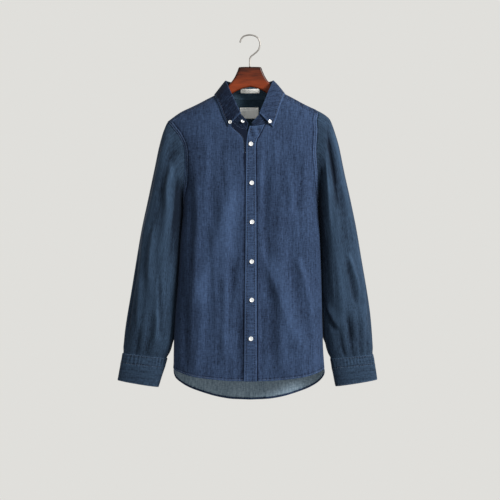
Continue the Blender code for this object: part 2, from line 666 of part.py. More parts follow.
def armhole_at(sign, turn):
    """The armhole's point and normal at an angle: 0 on the ridge, a half turn at the underarm."""
    share = np.where(turn <= math.pi, turn, 2 * math.pi - turn) / math.pi
    face = np.where(turn <= math.pi, FRONT, BACK)
    ways = [armhole_way(sign, side, np.ravel(share)) for side in (FRONT, BACK)]
    way, z = (np.where(np.ravel(face) < 0, ways[0][i], ways[1][i]) for i in (0, 1))
    point = body_point(way, z, np.ravel(face)).reshape(*turn.shape, 3)
    return point, body_normal(way, z, np.ravel(face)).reshape(*turn.shape, 3)


def sleeve_point(sign, t, turn):
    """A point on the sleeve's outer face: it leaves the armhole and turns into an oval tube."""
    t, turn = np.broadcast_arrays(np.asarray(t, float), np.asarray(turn, float))
    tube = rings(SLEEVE[sign], t, turn)
    wrapped = np.mod(turn, 2 * math.pi)
    seam = armhole_at(sign, wrapped)[0] - rings(SLEEVE[sign], np.zeros_like(t), turn)
    point = tube + seam * (1 - ease(t / 6))[..., None]
    degrees = np.degrees(wrapped)
    rise = np.zeros_like(t)
    for middle, half, first, last, depth in SLEEVE_FOLDS[sign]:
        away = np.abs((degrees - middle + 180) % 360 - 180)
        rise = rise + depth * np.exp(-(away / half) ** 2) * ease((t - first) / 2) * ease((last - t) / 2)
    for middle, half, first, depth in CUFF_PLEATS[sign]:
        away = np.abs((degrees - middle + 180) % 360 - 180)
        rise = rise + depth * np.exp(-(away / half) ** 2) * ease((t - first) / 1.2) * ease((14.4 - t) / 1)
    middle = rings(SLEEVE[sign], t, turn + math.pi) / 2 + tube / 2
    outward = tube - middle
    return point + outward / np.linalg.norm(outward, axis=-1, keepdims=True) * rise[..., None]


def sleeve(name, sign):
    """A sleeve, sewn into a tube, from the armhole to the cuff."""
    t = np.array(SLEEVE_RINGS)
    front, back = (math.pi * seam_shares(sign, face)[0] for face in (FRONT, BACK))
    turn = np.concatenate([front, 2 * math.pi - back[-2:0:-1]])
    grid = sleeve_point(sign, t[:, None], turn[None])
    normal = grid_normals(grid, ring=True)
    centre = grid.mean(axis=1, keepdims=True)
    if np.sum(normal * (grid - centre)) < 0:
        normal = -normal
    normal[0] = armhole_at(sign, turn)[1]
    normal[1] = normal[0] + normal[1]
    normal /= np.linalg.norm(normal, axis=-1, keepdims=True)
    away = grid[1] - grid[0]
    grid[0] += away / np.linalg.norm(away, axis=-1, keepdims=True) * CURVED_GAP
    wall(name, grid, grid - normal * WALL, CLOTH_DARK, ring=True)


def surface_patch(name, place, u, v, lift, thick, finish):
    """A wall on any surface place(u, v), lifted off it."""
    step = 1e-3
    grid = place(u, v)
    across = place(u, v + step) - place(u, v - step)
    down = place(u + step, v) - place(u - step, v)
    normal = np.cross(across, down)
    normal /= np.linalg.norm(normal, axis=-1, keepdims=True)
    if np.sum(normal * (grid - place(u, v + math.pi))) < 0:
        normal = -normal
    lift = np.broadcast_to(lift, u.shape)[..., None]
    wall(name, grid + normal * lift, grid + normal * (lift - thick), finish)
    return grid + normal * lift, normal


def cuff(name, sign):
    """A cuff: a doubled band, wrapped once round with its end lapped over and buttoned."""
    turned = np.concatenate([np.arange(0, 340, 15), np.arange(340, 360 + CUFF_OVER + 1, 6)])
    ring = np.linspace(0, 3, 4)
    u, v = np.meshgrid(ring, np.radians(turned + CUFF_LAP), indexing="ij")
    lap = (THICK_WALL + 0.4) * ease((turned - CUFF_LIFT_FROM) / CUFF_LIFT_OVER)
    lift = np.broadcast_to(lap, u.shape)
    points, normal = surface_patch(name, lambda a, b: rings(CUFF[sign], a, b), u, v, lift,
                                   THICK_WALL, CLOTH_DARK)
    return points, normal


def gauntlet(name, sign):
    """The strip that finishes the sleeve's slit above the cuff, on the back."""
    u, v = np.meshgrid(np.linspace(*GAUNTLET_RINGS, 7), np.radians(GAUNTLET_TURNS), indexing="ij")
    surface_patch(name, lambda a, b: sleeve_point(sign, a, b), u, v, SEAM_GAP + WALL, WALL, CLOTH_DARK)


# ---------------------------------------------------------------- collar

def by_row(points, t):
    """Points at row numbers t of a smooth curve through the rows."""
    columns = [through(list(enumerate(values)), t) for values in np.array(points, float).T]
    return np.stack(columns, axis=-1)


def collar_line(tab):
    """The collar's rows from the right end, round the back, to the left end."""
    sides = []
    for sign in (-1, 1):
        rows = [(row[1] * sign, *row) for row in COLLAR[sign]]
        if tab:
            rows += [(row[0] * sign, FRONT, *row, 0, -240) for row in STAND_TAB[sign]]
        sides.append(rows)
    neck, roll, edge = [], [], []
    for place, face, _, roll_x, roll_y, roll_z, edge_x, edge_z in sides[0][::-1] + sides[1][1:]:
        neck.append(place)
        roll.append((roll_x, roll_y, roll_z))
        edge.append(body_lift(way_of_x(edge_x, edge_z), edge_z, face, LEAF_LIFT))
    return neck, roll, edge


def neck_line(places):
    """Points and normals of the body at the neck seam; places below nought are on -X."""
    sides = []
    for sign in (-1, 1):
        x, z, face = neck_seam(sign, np.abs(places))
        way = way_of_x(x, z)
        sides.append((body_point(way, z, face), body_normal(way, z, face)))
    return [np.where(places[:, None] < 0, sides[0][i], sides[1][i]) for i in (0, 1)]


def stand_grid(shares):
    """The stand's outer face from the right end, round the back, to the left end."""
    places, roll, _ = collar_line(True)
    t = shares * (len(places) - 1)
    foot, at_neck = neck_line(through(list(enumerate(places)), t))
    top = by_row(roll, t)
    rise = top - foot
    foot = foot + rise / np.linalg.norm(rise, axis=-1, keepdims=True) * CURVED_GAP
    grid = np.stack([top, (foot + top) / 2, foot])
    normal = grid_normals(grid)
    if np.sum(normal * (grid - (0, 0, -150))) < 0:
        normal = -normal
    normal[2] = at_neck
    return grid, normal


def leaf_grid(columns):
    """The leaf's outer face: it stands on the stand's top edge, rolls over and falls."""
    places, roll, foot = collar_line(False)
    t = np.linspace(0, len(places) - 1, columns)
    roll, foot = by_row(roll, t), by_row(foot, t)
    up = roll - neck_line(through(list(enumerate(places)), t))[0]
    up /= np.linalg.norm(up, axis=-1, keepdims=True)
    out = np.cross(np.gradient(roll, axis=0), up)
    out /= np.linalg.norm(out, axis=-1, keepdims=True)
    if np.sum(out * (roll - (0, 0, -150))) < 0:
        out = -out
    radius = ROLL_RADIUS + THICK_WALL
    centre = roll + out * ROLL_RADIUS + up * SEAM_GAP
    spokes = [up * math.sin(angle) - out * math.cos(angle) for angle in np.radians(ROLL_DEGREES)]
    grid = [centre + spoke * radius for spoke in spokes]
    start = grid[-1]
    length = np.linalg.norm(foot - start, axis=-1, keepdims=True)
    bend = start - up * length * 0.4 + out * length * 0.10
    for t in np.linspace(0, 1, FALL_ROWS)[1:]:
        grid.append(start * (1 - t) ** 2 + bend * 2 * t * (1 - t) + foot * t**2)
    grid = np.array(grid)
    rest = grid_normals(grid)[len(ROLL_DEGREES):]
    if np.sum(rest * out) < 0:
        rest = -rest
    return grid, np.concatenate([np.array(spokes), rest])


def collar():
    grid, normal = stand_grid(np.linspace(0, 1, STAND_COLUMNS))
    wall("collar_stand", grid, grid - normal * THICK_WALL, CLOTH)
    grid, normal = leaf_grid(LEAF_COLUMNS)
    wall("collar_leaf", grid, grid - normal * THICK_WALL, CLOTH)


# ---------------------------------------------------------------- labels, buttons, hanger

def labels():
    """A bare label inside the yoke, and a bare strip inside the stand."""
    x, z = np.meshgrid(np.linspace(*NECK_LABEL_X, 6), np.linspace(*NECK_LABEL_Z, 4))
    body_wall("neck_label", way_of_x(x, z), z, BACK, NECK_LABEL_LIFT, LABEL_WALL, LABEL_GREY)
    grid, normal = stand_grid(np.linspace(*STRIP_SHARES, 6))
    inner = grid - normal * (THICK_WALL + 2 * SEAM_GAP)
    strip = np.array([inner[0] * (1 - share) + inner[2] * share for share in STRIP_ROWS])
    wall("size_label", strip, strip - normal[:2] * LABEL_WALL, LABEL_WHITE)


def button(name, point, normal, radius):
    """A turned button, its back against the cloth: a rounded rim round a shallow dish."""
    thick = radius * BUTTON_THICK
    normal = np.array(normal) / np.linalg.norm(normal)
    side = np.cross(normal, (0, 0, 1))
    side /= np.linalg.norm(side)
    up = np.cross(side, normal)
    sides = BUTTON_SIDES
    points, faces = [], []
    for share, height in BUTTON_PROFILE:
        for turn in np.arange(sides) * 2 * math.pi / sides:
            ring = side * math.cos(turn) + up * math.sin(turn)
            points.append(point + ring * share * radius + normal * (SEAM_GAP + height * thick))
    for r in range(len(BUTTON_PROFILE) - 1):
        for c in range(sides):
            d = (c + 1) % sides
            faces.append((r * sides + c, r * sides + d, (r + 1) * sides + d, (r + 1) * sides + c))
    faces.append(tuple(range(sides)))
    faces.append(tuple(range(len(points) - sides, len(points))))
    make_object(name, points, faces, PLASTIC)


def nearest(grid, normal, x, z):
    """The grid's point that shows nearest to (x, z) from the front, and its normal."""
    away = np.hypot(grid[..., 0] - x, grid[..., 2] - z) + np.where(normal[..., 1] < 0, 0, 1e3)
    spot = np.unravel_index(np.argmin(away), away.shape)
    return grid[spot], normal[spot]


def buttons(cuffs):
    for i, (x, z) in enumerate(PLACKET_BUTTONS):
        way = way_of_x(x, z)
        point = body_lift(way, z, FRONT, PLACKET_LIFT)
        button(f"button_{i + 1}", point, body_normal(way, z, FRONT), BUTTON_RADIUS)
    for name, (x, z) in zip(("point_button_right", "point_button_left"), POINT_BUTTONS):
        point, normal = nearest(*leaf_grid(SEARCH_COLUMNS), x, z)
        button(name, point, normal, SMALL_BUTTON_RADIUS)
    grid, normal = stand_grid(np.linspace(0, 1, SEARCH_COLUMNS))
    point, normal = nearest(grid, normal, *STAND_BUTTON)
    button("stand_button", point, normal, BUTTON_RADIUS)
    for name, (grid, normal) in cuffs.items():
        point, facing = grid[1:3, -2].mean(axis=0), normal[1:3, -2].mean(axis=0)
        button(name, point, facing, BUTTON_RADIUS)


def hanger_outline():
    """The hanger's outline, its arms just under the two shoulder ridges."""
    halves = []
    for sign in (1, -1):
        arm_x = np.linspace(86, HANGER_HALF - 8, 9)
        arm = [(x, float(ridge_z(x, sign)) - WALL - HANGER_CLEAR) for x in arm_x]
        tip_z = arm[-1][1]
        foot_z = HANGER_FOOT[-1][1]
        tip = [(HANGER_HALF - 2, tip_z - 5.5), (HANGER_HALF, (tip_z + foot_z) / 2 - 1),
               (HANGER_HALF - 3, foot_z + 0.8)]
        half = HANGER_TOP + arm + tip + HANGER_FOOT[::-1]
        halves.append([(sign * x, z) for x, z in half])
    return np.array(halves[0] + halves[1][-2:0:-1])


def hanger():
    """The wooden hanger: one shaped board with rounded edges."""
    outline = hanger_outline()
    along = np.roll(outline, -1, axis=0) - np.roll(outline, 1, axis=0)
    inward = np.stack([along[:, 1], -along[:, 0]], axis=-1)
    inward /= np.linalg.norm(inward, axis=-1, keepdims=True)
    points, faces = [], []
    count = len(outline)
    for y, inset in HANGER_EDGE:
        for x, z in outline + inward * inset:
            points.append(np.array((x, y, z)))
    for r in range(len(HANGER_EDGE) - 1):
        for i in range(count):
            j = (i + 1) % count
            faces.append((r * count + i, r * count + j, (r + 1) * count + j, (r + 1) * count + i))
    faces.append(tuple(range(count)))
    faces.append(tuple(range(len(points) - count, len(points))))
    make_object("hanger", points, faces, WOOD)


def hook():
    """The steel hook: a round wire that stands in the hanger's top."""
    route = along_points(HOOK_PATH, np.linspace(0, 1, 30))
    curve = bpy.data.curves.new("hook", "CURVE")
    curve.dimensions = "3D"
    curve.bevel_depth = HOOK_WIRE / 2 * MM
    curve.bevel_resolution = 2
    curve.use_fill_caps = True
    spline = curve.splines.new("POLY")
    spline.points.add(len(route) - 1)
    for knot, (x, z) in zip(spline.points, route):
        knot.co = (x * MM, 0, z * MM, 1)
    curve.materials.append(material("hook", *STEEL))
    bpy.context.collection.objects.link(bpy.data.objects.new("hook", curve))


front_panel("front_right", -1, BUTTON_EDGE)
front_panel("front_left", 1, PLACKET_SEWN)
back_panel()
yoke()
placket()
cuffs = {}
for hand, sign in (("right", -1), ("left", 1)):
    sleeve(f"sleeve_{hand}", sign)
    cuffs[f"cuff_button_{hand}"] = cuff(f"cuff_{hand}", sign)
    gauntlet(f"sleeve_placket_{hand}", sign)
collar()
labels()
buttons(cuffs)
hanger()
hook()
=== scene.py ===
# %% [markdown]
# # A chambray shirt on a wooden hanger
#
# The real thing is some fifteen pieces of indigo cloth, sewn along curved seams and hung
# from a hook, so that gravity pulls it into long soft folds. It could be thrown over the
# hanger by a cloth simulation, but that would drift away from the pattern and take minutes.
# Here the body of the shirt is one smooth surface with two parameters, the way round and
# the height, and every panel, seam, crease and stitch is worked out on that surface.
#
# The imported solids give the fixed frame.

# %% Load the frame
import math

import bpy
import numpy as np
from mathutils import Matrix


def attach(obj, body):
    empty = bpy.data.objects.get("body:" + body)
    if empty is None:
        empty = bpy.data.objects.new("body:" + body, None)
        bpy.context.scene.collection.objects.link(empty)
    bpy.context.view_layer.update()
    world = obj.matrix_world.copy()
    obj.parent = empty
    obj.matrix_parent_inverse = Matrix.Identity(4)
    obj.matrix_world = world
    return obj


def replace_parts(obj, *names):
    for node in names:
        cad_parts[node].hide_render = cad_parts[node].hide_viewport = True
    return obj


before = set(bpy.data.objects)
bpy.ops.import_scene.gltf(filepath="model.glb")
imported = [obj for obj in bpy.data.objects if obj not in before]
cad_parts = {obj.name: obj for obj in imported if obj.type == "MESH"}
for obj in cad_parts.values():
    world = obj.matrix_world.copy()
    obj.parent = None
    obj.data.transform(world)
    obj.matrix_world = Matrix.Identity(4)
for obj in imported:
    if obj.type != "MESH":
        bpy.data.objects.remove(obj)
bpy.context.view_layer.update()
MM = 0.001
BODY_NAME = "root"

# %% [markdown]
# ## Curves through a few measured points
#
# A pattern maker keeps a garment as short tables of sizes. A cubic drawn through each table
# gives any size in between. Its slopes are harmonic means, which never overshoot, so that
# an edge does not bulge between two measured points.

# %% Curve helpers


def through(table, x, column=1):
    """Table column at x: cubic pieces whose slope at a row is the harmonic mean of its neighbours'."""
    rows = np.array(sorted((row[0], row[column]) for row in table), float)
    knots, values = rows[:, 0], rows[:, 1]
    steep = np.diff(values) / np.diff(knots)
    before, after = np.append(steep[0], steep), np.append(steep, steep[-1])
    same_way = before * after > 0
    slopes = np.where(same_way, 2 * before * after / np.where(same_way, before + after, 1), 0)
    x = np.clip(x, knots[0], knots[-1])
    i = np.clip(np.searchsorted(knots, x) - 1, 0, len(knots) - 2)
    step = knots[i + 1] - knots[i]
    t = (x - knots[i]) / step
    rise = values[i] * (2 * t**3 - 3 * t**2 + 1) + values[i + 1] * (3 * t**2 - 2 * t**3)
    lean = slopes[i] * (t**3 - 2 * t**2 + t) + slopes[i + 1] * (t**3 - t**2)
    return rise + lean * step


def lengths(line):
    """How far along a line of points each of them is: 0, then the sum of the steps."""
    return np.concatenate([[0], np.cumsum(np.linalg.norm(np.diff(line, axis=0), axis=1))])


def sample(line, at, where):
    """Points of a line, whose lengths are 'at', at other lengths."""
    return np.stack([np.interp(where, at, column) for column in line.T], axis=-1)


def along_points(points, shares):
    """Points at shares of the length of a smooth curve through the given points."""
    points = np.array(points, float)
    way = lengths(points)
    way = way / way[-1]
    columns = [through(list(zip(way, values)), np.asarray(shares, float)) for values in points.T]
    return np.stack(columns, axis=-1)


def ease(t):
    """0 to 1, level at both ends: 3t^2 - 2t^3."""
    t = np.clip(t, 0, 1)
    return t * t * (3 - 2 * t)


def bell(away, half, lean=0.0):
    """exp of minus the square of away over a half width, which a lean makes wider on one side."""
    return np.exp(-((away / (half * (1 + lean * np.sign(away)))) ** 2))


def unit(vectors):
    """Vectors divided by their lengths."""
    return vectors / np.maximum(np.linalg.norm(vectors, axis=-1, keepdims=True), 1e-12)


# %% [markdown]
# ## The pattern's sizes
#
# All tables are in millimetres, measured from the inside of the hook's top. +Z is up, the
# buttoned front faces -Y, and +X is the wearer's left. They repeat the sizes of the solids,
# so that the cloth lies where the solids are.

# %% Tables of the body
FRONT, BACK = -1, 1
YOKE_DROP = 9.0         # the yoke's front seam, below the shoulder ridge
YOKE_BACK_Z = -255.0
UNDERARM_Z = -432.0
CORNER = 0.45           # share of the half width that rounds into the side

BODY = [
    # z, half width on -X, half width on +X, front depth, back depth, taper
    (-144, 74, 74, 36, 38, 0.42), (-153, 88, 93, 38, 41, 0.45), (-165, 111, 116, 40, 43, 0.48),
    (-177, 134, 138, 41, 45, 0.50), (-188, 157, 161, 42, 47, 0.52), (-197, 176, 182, 42, 48, 0.52),
    (-206, 190, 195, 43, 49, 0.50), (-215, 202, 205, 44, 50, 0.48), (-225, 213, 210, 45, 51, 0.46),
    (-240, 213, 209, 47, 52, 0.42), (-260, 207, 204, 49, 54, 0.37), (-300, 194, 193, 51, 56, 0.28),
    (-340, 184, 185, 53, 58, 0.21), (-386, 175, 178, 55, 59, 0.15), (-432, 171, 176, 56, 60, 0.12),
    (-528, 179, 181, 58, 61, 0.10), (-656, 187, 185, 60, 62, 0.10), (-800, 196, 188, 62, 64, 0.10),
    (-870, 197, 192, 64, 66, 0.10), (-960, 196, 194, 66, 68, 0.10),
]
BODY_FOLDS = [
    # face, x at top, x at foot, z of top, z of foot, half width, rise
    (FRONT, -128, -150, -250, -800, 17, 3.5), (FRONT, -98, -112, -300, -900, 15, -3.0),
    (FRONT, -66, -72, -270, -930, 16, 3.0), (FRONT, -36, -34, -420, -930, 11, -2.0),
    (FRONT, 44, 40, -330, -930, 13, -2.2), (FRONT, 78, 74, -260, -900, 17, 3.2),
    (FRONT, 108, 112, -420, -930, 14, -3.0), (FRONT, 140, 146, -240, -760, 15, 3.2),
    (BACK, -132, -140, -290, -930, 19, 4.0), (BACK, -94, -100, -330, -960, 17, -3.4),
    (BACK, -52, -60, -290, -960, 20, 4.2), (BACK, -8, -4, -360, -980, 19, -3.6),
    (BACK, 38, 46, -290, -980, 19, 4.0), (BACK, 84, 88, -340, -960, 17, -3.2),
    (BACK, 126, 134, -290, -920, 19, 3.8),
]
NECK_FRONT = [
    # x, z on -X, z on +X
    (0, -247, -237), (20, -243, -236), (38, -232, -232), (54, -212, -212), (66, -188, -188),
    (73, -166, -166), (75, -155, -155), (75.4, -144.7, -144.7),
]
NECK_BACK = [(0, -162), (30, -160.5), (54, -156.5), (66, -152.8), (72, -149.5), (75.4, -144.7)]
ARMHOLE = {
    # z, from the side on the front, on the back
    -1: [(-222.5, 0, 0), (-225, 14, 12), (-230, 31, 26), (-240, 44, 37), (-258, 56, 45),
         (-284, 59, 46), (-338, 45, 34), (-386, 28, 18), (-415, 11, 7), (UNDERARM_Z, 0, 0)],
    1: [(-191.5, 0, 0), (-193, 20, 16), (-201, 40, 32), (-225, 71, 52), (-255, 66, 50),
        (-311, 52, 38), (-381, 24, 17), (-415, 9, 7), (UNDERARM_Z, 0, 0)],
}
HEM = [
    # share of the way from centre to side, front z, back z
    (0.0, -887, -946), (0.2, -886.5, -944), (0.4, -883, -936), (0.6, -877, -920),
    (0.8, -866, -897), (0.92, -860, -880), (1.0, -856, -866),
]
BUTTON_EDGE = [(-248, -8), (-262, -6), (-285, 4), (-320, 12.5), (-930, 13.5)]
PLACKET_FREE = [(-237, -1.5), (-264, -7.9), (-290, -10), (-426, -11.2), (-930, -16.3)]
PLACKET_SEWN = [(-232, 37.7), (-258, 25.5), (-272, 17.5), (-290, 14.8), (-426, 16.1), (-930, 17.6)]
PLACKET_LIFT = 2.2
PLACKET_BUTTONS = [(2.3, -283), (4.3, -382.5), (5.1, -482), (4.3, -583), (4.3, -680.5), (2.3, -779)]

# %% Tables of the sleeves, cuffs and collar
SLEEVE = {
    # outer x, outer z, inner x, inner z, half depth, y
    -1: [(-211, -222.5, -171, -432, 27, 0), (-214, -227, -173, -426, 28, 0),
         (-217, -233, -175, -424.5, 30, 0), (-220, -240, -176.5, -428, 32, 0),
         (-224, -250, -177, -440, 34, 1), (-229, -266, -177, -462, 37, 2),
         (-236, -292, -178.7, -492, 40, 3), (-247, -343, -181.8, -530, 43, 5),
         (-264, -425, -184.8, -578, 45, 7), (-281, -505, -188, -630, 46, 9),
         (-295, -585, -191.2, -682, 45, 11), (-308, -664, -194.2, -732, 43, 12),
         (-318, -728, -197.2, -772, 40, 12), (-325, -778, -202, -802, 34, 12),
         (-329.8, -819.5, -213.8, -832.5, 25, 12)],
    1: [(170, -191.5, 176, -432, 27, 0), (182, -197.5, 178, -426, 28, 0),
        (194, -205, 179.5, -424.5, 30, 0), (205, -215, 180.5, -428, 32, 0),
        (212, -229, 180.5, -440, 34, 1), (219, -248, 180.8, -462, 37, 2),
        (229, -282, 182, -492, 40, 3), (242, -345, 183.8, -530, 43, 5),
        (261, -430, 185.3, -578, 45, 7), (277, -508, 187.1, -630, 46, 9),
        (290, -586, 188.3, -682, 45, 11), (302, -660, 189.6, -732, 43, 12),
        (311, -726, 191, -772, 40, 12), (316, -778, 196, -802, 34, 12),
        (319.4, -822.5, 206.8, -833.5, 25, 12)],
}
LAST_RING = len(SLEEVE[1]) - 1
CUFF = {
    # outer x, outer z, inner x, inner z, half depth, y
    -1: [(-330, -820, -214, -833, 25, 12), (-334, -842, -220, -855, 25, 12),
         (-339, -866, -228, -881, 25, 12), (-343.5, -890, -236, -908, 25, 12)],
    1: [(319.5, -823, 207, -834, 25, 12), (323, -844, 211, -857, 25, 12),
        (326.5, -866, 216, -881, 25, 12), (329.5, -888.5, 221, -906, 25, 12)],
}
SLEEVE_FOLDS = {
    # degrees round from the outer edge by way of the front, half width, first ring, last ring, rise
    -1: [(38, 15, 2, 11, 3.4), (68, 14, 1, 9, -4.4), (105, 17, 5, 13, 3.2), (140, 16, 2, 8, -3.0),
         (215, 18, 3, 11, 3.4), (260, 18, 2, 12, -3.6), (310, 18, 4, 13, 3.2)],
    1: [(34, 13, 4, 12, 3.4), (62, 14, 2, 10, -4.4), (100, 16, 4, 13, 3.2), (134, 15, 3, 9, -3.6),
        (220, 18, 3, 12, 3.6), (258, 17, 2, 11, -3.4), (312, 18, 5, 13, 3.0)],
}
CUFF_PLEATS = {
    # degrees round, half width, first ring, rise
    -1: [(64, 7, 11.3, -4.2), (92, 7, 11.0, -4.2), (250, 8, 11.5, -3.6)],
    1: [(40, 6, 11.5, -3.4), (62, 6, 11.2, -3.8), (88, 6, 11.0, -4.0), (112, 6, 11.6, -3.4),
        (252, 8, 11.5, -3.6)],
}
COLLAR = {
    # face, neck, roll x, roll y, roll z, leaf edge's x, z
    -1: [(BACK, 0.0, 0, 43, -122, 0, -168), (BACK, 0.29, -28, 42, -121.5, -40, -167),
         (BACK, 0.53, -48, 34, -119.5, -69, -163.5), (BACK, 0.67, -58, 21, -118.5, -84, -160),
         (BACK, 0.87, -61.5, 7, -118.5, -90.5, -156.6), (FRONT, 1.0, -62.5, 0, -119, -91.5, -155.3),
         (FRONT, 1.07, -61.5, -11, -122, -90.5, -158), (FRONT, 1.21, -57, -26, -133, -85, -170),
         (FRONT, 1.37, -50, -37, -150, -77, -189), (FRONT, 1.53, -39, -47, -175, -69, -213),
         (FRONT, 1.70, -24.5, -55, -206, -56, -238.5)],
    1: [(BACK, 0.0, 0, 43, -122, 0, -168), (BACK, 0.29, 28, 42, -121.5, 40, -167),
        (BACK, 0.53, 47, 34, -119, 69, -163), (BACK, 0.67, 56, 21, -117.5, 83, -158.5),
        (BACK, 0.87, 59, 7, -117.5, 88.5, -153.5), (FRONT, 1.0, 60, 0, -118, 89.5, -151.5),
        (FRONT, 1.07, 58.5, -11, -122, 88.5, -155), (FRONT, 1.21, 54, -26, -134, 83, -168),
        (FRONT, 1.37, 47, -37, -151, 76, -188), (FRONT, 1.53, 37, -47, -176, 69, -213),
        (FRONT, 1.71, 24, -55, -206, 59, -240)],
}
STAND_TAB = {
    # neck, roll x, roll y, roll z
    -1: [(1.835, -14, -56, -217), (1.95, -5, -56, -232)],
    1: [(1.85, 15, -55, -217), (1.97, 5, -55, -229)],
}
LEAF_LIFT = 2.6         # the leaf's outer face, off the fronts and the yoke
ROLL_RADIUS = 0.6       # the inside of the collar's fold
POINT_BUTTONS = [(-50.7, -227), (50.9, -225.5)]

# %% [markdown]
# ## The body's surface
#
# A level section through the hanging shirt is a flattened ring: nearly straight in front and
# behind, with a rounded corner at each side. "way" is the length of cloth from the centre
# line round to a point, so a pattern that is laid out in way and height keeps its widths
# when it bends round the corner. The wide folds are added to the depth.

# %% Surface of the body


def section(z, sign):
    """Half width, flat part, corner's radius and the way round it, at a level."""
    width = np.where(sign < 0, through(BODY, z, 1), through(BODY, z, 2))
    radius = CORNER * width
    depth = (through(BODY, z, 3) + through(BODY, z, 4)) / 2
    return width, width - radius, radius, math.pi / 2 * np.sqrt((radius**2 + depth**2) / 2)


def side_way(z, sign):
    """The way round from the centre line to the side."""
    _, flat, _, arc = section(z, sign)
    return flat + arc


def way_of_x(x, z):
    """The way round to the point whose distance across is x: straight, then an arcsine."""
    sign = np.where(x < 0, -1, 1)
    _, flat, radius, arc = section(z, sign)
    beyond = np.clip((np.abs(x) - flat) / radius, 0, 1)
    way = np.where(np.abs(x) <= flat, np.abs(x), flat + arc * np.arcsin(beyond) / (math.pi / 2))
    return sign * way


def body_point(way, z, face):
    """A point on the cloth's smooth face: x by way, y the depth times cosine of the corner's turn."""
    way, z, face = np.broadcast_arrays(np.asarray(way, float), np.asarray(z, float), face)
    sign = np.where(way < 0, -1, 1)
    width, flat, radius, arc = section(z, sign)
    turn = np.clip(np.abs(way) - flat, 0, None) / arc * math.pi / 2
    x = np.where(turn > 0, flat + radius * np.sin(turn), np.abs(way))
    depth = np.where(face < 0, through(BODY, z, 3), through(BODY, z, 4))
    y = depth * np.cos(turn) * (1 - through(BODY, z, 5) * (x / width) ** 2)
    x = x * sign
    for fold_face, x_top, x_foot, z_top, z_foot, half, rise in BODY_FOLDS:
        share = np.clip((z - z_top) / (z_foot - z_top), 0, 1)
        middle = x_top + (x_foot - x_top) * share
        swell = ease((z_top - z) / 110) * ease((z - z_foot) / 140)
        bump = rise * swell * bell(x - middle, half) * np.cos(turn)
        y = y + np.where(face == fold_face, bump, 0)
    return np.stack([x, face * y, z], axis=-1)


def body_normal(way, z, face):
    """The outward normal: cross product of a small step round and a small step down."""
    reach = 0.6
    way, z, face = np.broadcast_arrays(np.asarray(way, float), np.asarray(z, float), face)
    across = body_point(way + reach, z, face) - body_point(way - reach, z, face)
    down = body_point(way, z - reach, face) - body_point(way, z + reach, face)
    return unit(np.cross(across, down) * face[..., None])


HEIGHTS = np.linspace(-144, -228, 400)
RIDGE_X = {sign: through(BODY, HEIGHTS, 1 if sign < 0 else 2) for sign in (-1, 1)}


def ridge_z(x, sign):
    """Height of the shoulder ridge at a distance across."""
    return np.interp(np.abs(x), np.maximum.accumulate(RIDGE_X[sign]), HEIGHTS)


def neck_seam(sign, neck):
    """(x, z, face) of the neck seam: 0 at the centre back, 1 on the ridge, 2 in front."""
    neck = np.asarray(neck, float)
    column = 1 if sign < 0 else 2
    halves = []
    for face, rows in ((BACK, NECK_BACK), (FRONT, [(row[0], row[column]) for row in NECK_FRONT[::-1]])):
        x, z = along_points(rows, np.linspace(0, 1, 120)).T
        way = lengths(body_point(way_of_x(x, z), z, face))
        share = np.clip(neck if face == BACK else neck - 1, 0, 1) * way[-1]
        halves.append((np.interp(share, way, x), np.interp(share, way, z)))
    at_back = neck < 1
    x, z = (np.where(at_back, halves[0][i], halves[1][i]) for i in (0, 1))
    return sign * x, z, np.where(at_back, BACK, FRONT)


def neck_at_x(x, sign):
    """Where on the front's neck seam the distance across is x."""
    neck = np.linspace(1, 2, 400)
    return float(np.interp(-abs(x), -np.abs(neck_seam(sign, neck)[0]), neck))


def neck_at_drop(sign, drop):
    """Where the front's neck seam passes a drop below the ridge."""
    neck = np.linspace(1, 2, 400)
    return float(np.interp(drop, NECK_BACK[-1][1] - neck_seam(sign, neck)[1], neck))


def armhole_way(sign, face, shares):
    """(way, z) of the armhole seam at shares of its length, from ridge to underarm."""
    column = 1 if face < 0 else 2
    points = [(row[column], row[0]) for row in ARMHOLE[sign]]
    inset, z = along_points(points, shares).T
    z = np.maximum(z, UNDERARM_Z)
    return sign * (side_way(z, sign) - np.maximum(inset, 0)), z


def yoke_share(sign, face):
    """The share of the armhole's length at which the yoke's seam ends."""
    shares = np.linspace(0, 1, 500)
    way, z = armhole_way(sign, face, shares)
    if face == BACK:
        return float(np.interp(-YOKE_BACK_Z, -z, shares))
    drop = ridge_z(body_point(way, z, FRONT)[:, 0], sign) - z
    first = shares < 0.5
    return float(np.interp(YOKE_DROP, drop[first], shares[first]))


# %% [markdown]
# ## Creases
#
# Hung cotton shows long soft troughs and ridges, none of them quite straight and none the
# same on both flanks. Each is one row of a table: where it starts and ends, how wide it is
# and how far it stands out. Its profile is a bell whose two flanks have different widths,
# and its middle wanders a little. The same field is used for every layer of the body, so
# that a panel, the placket over it and the stitches on top all rise and fall together.

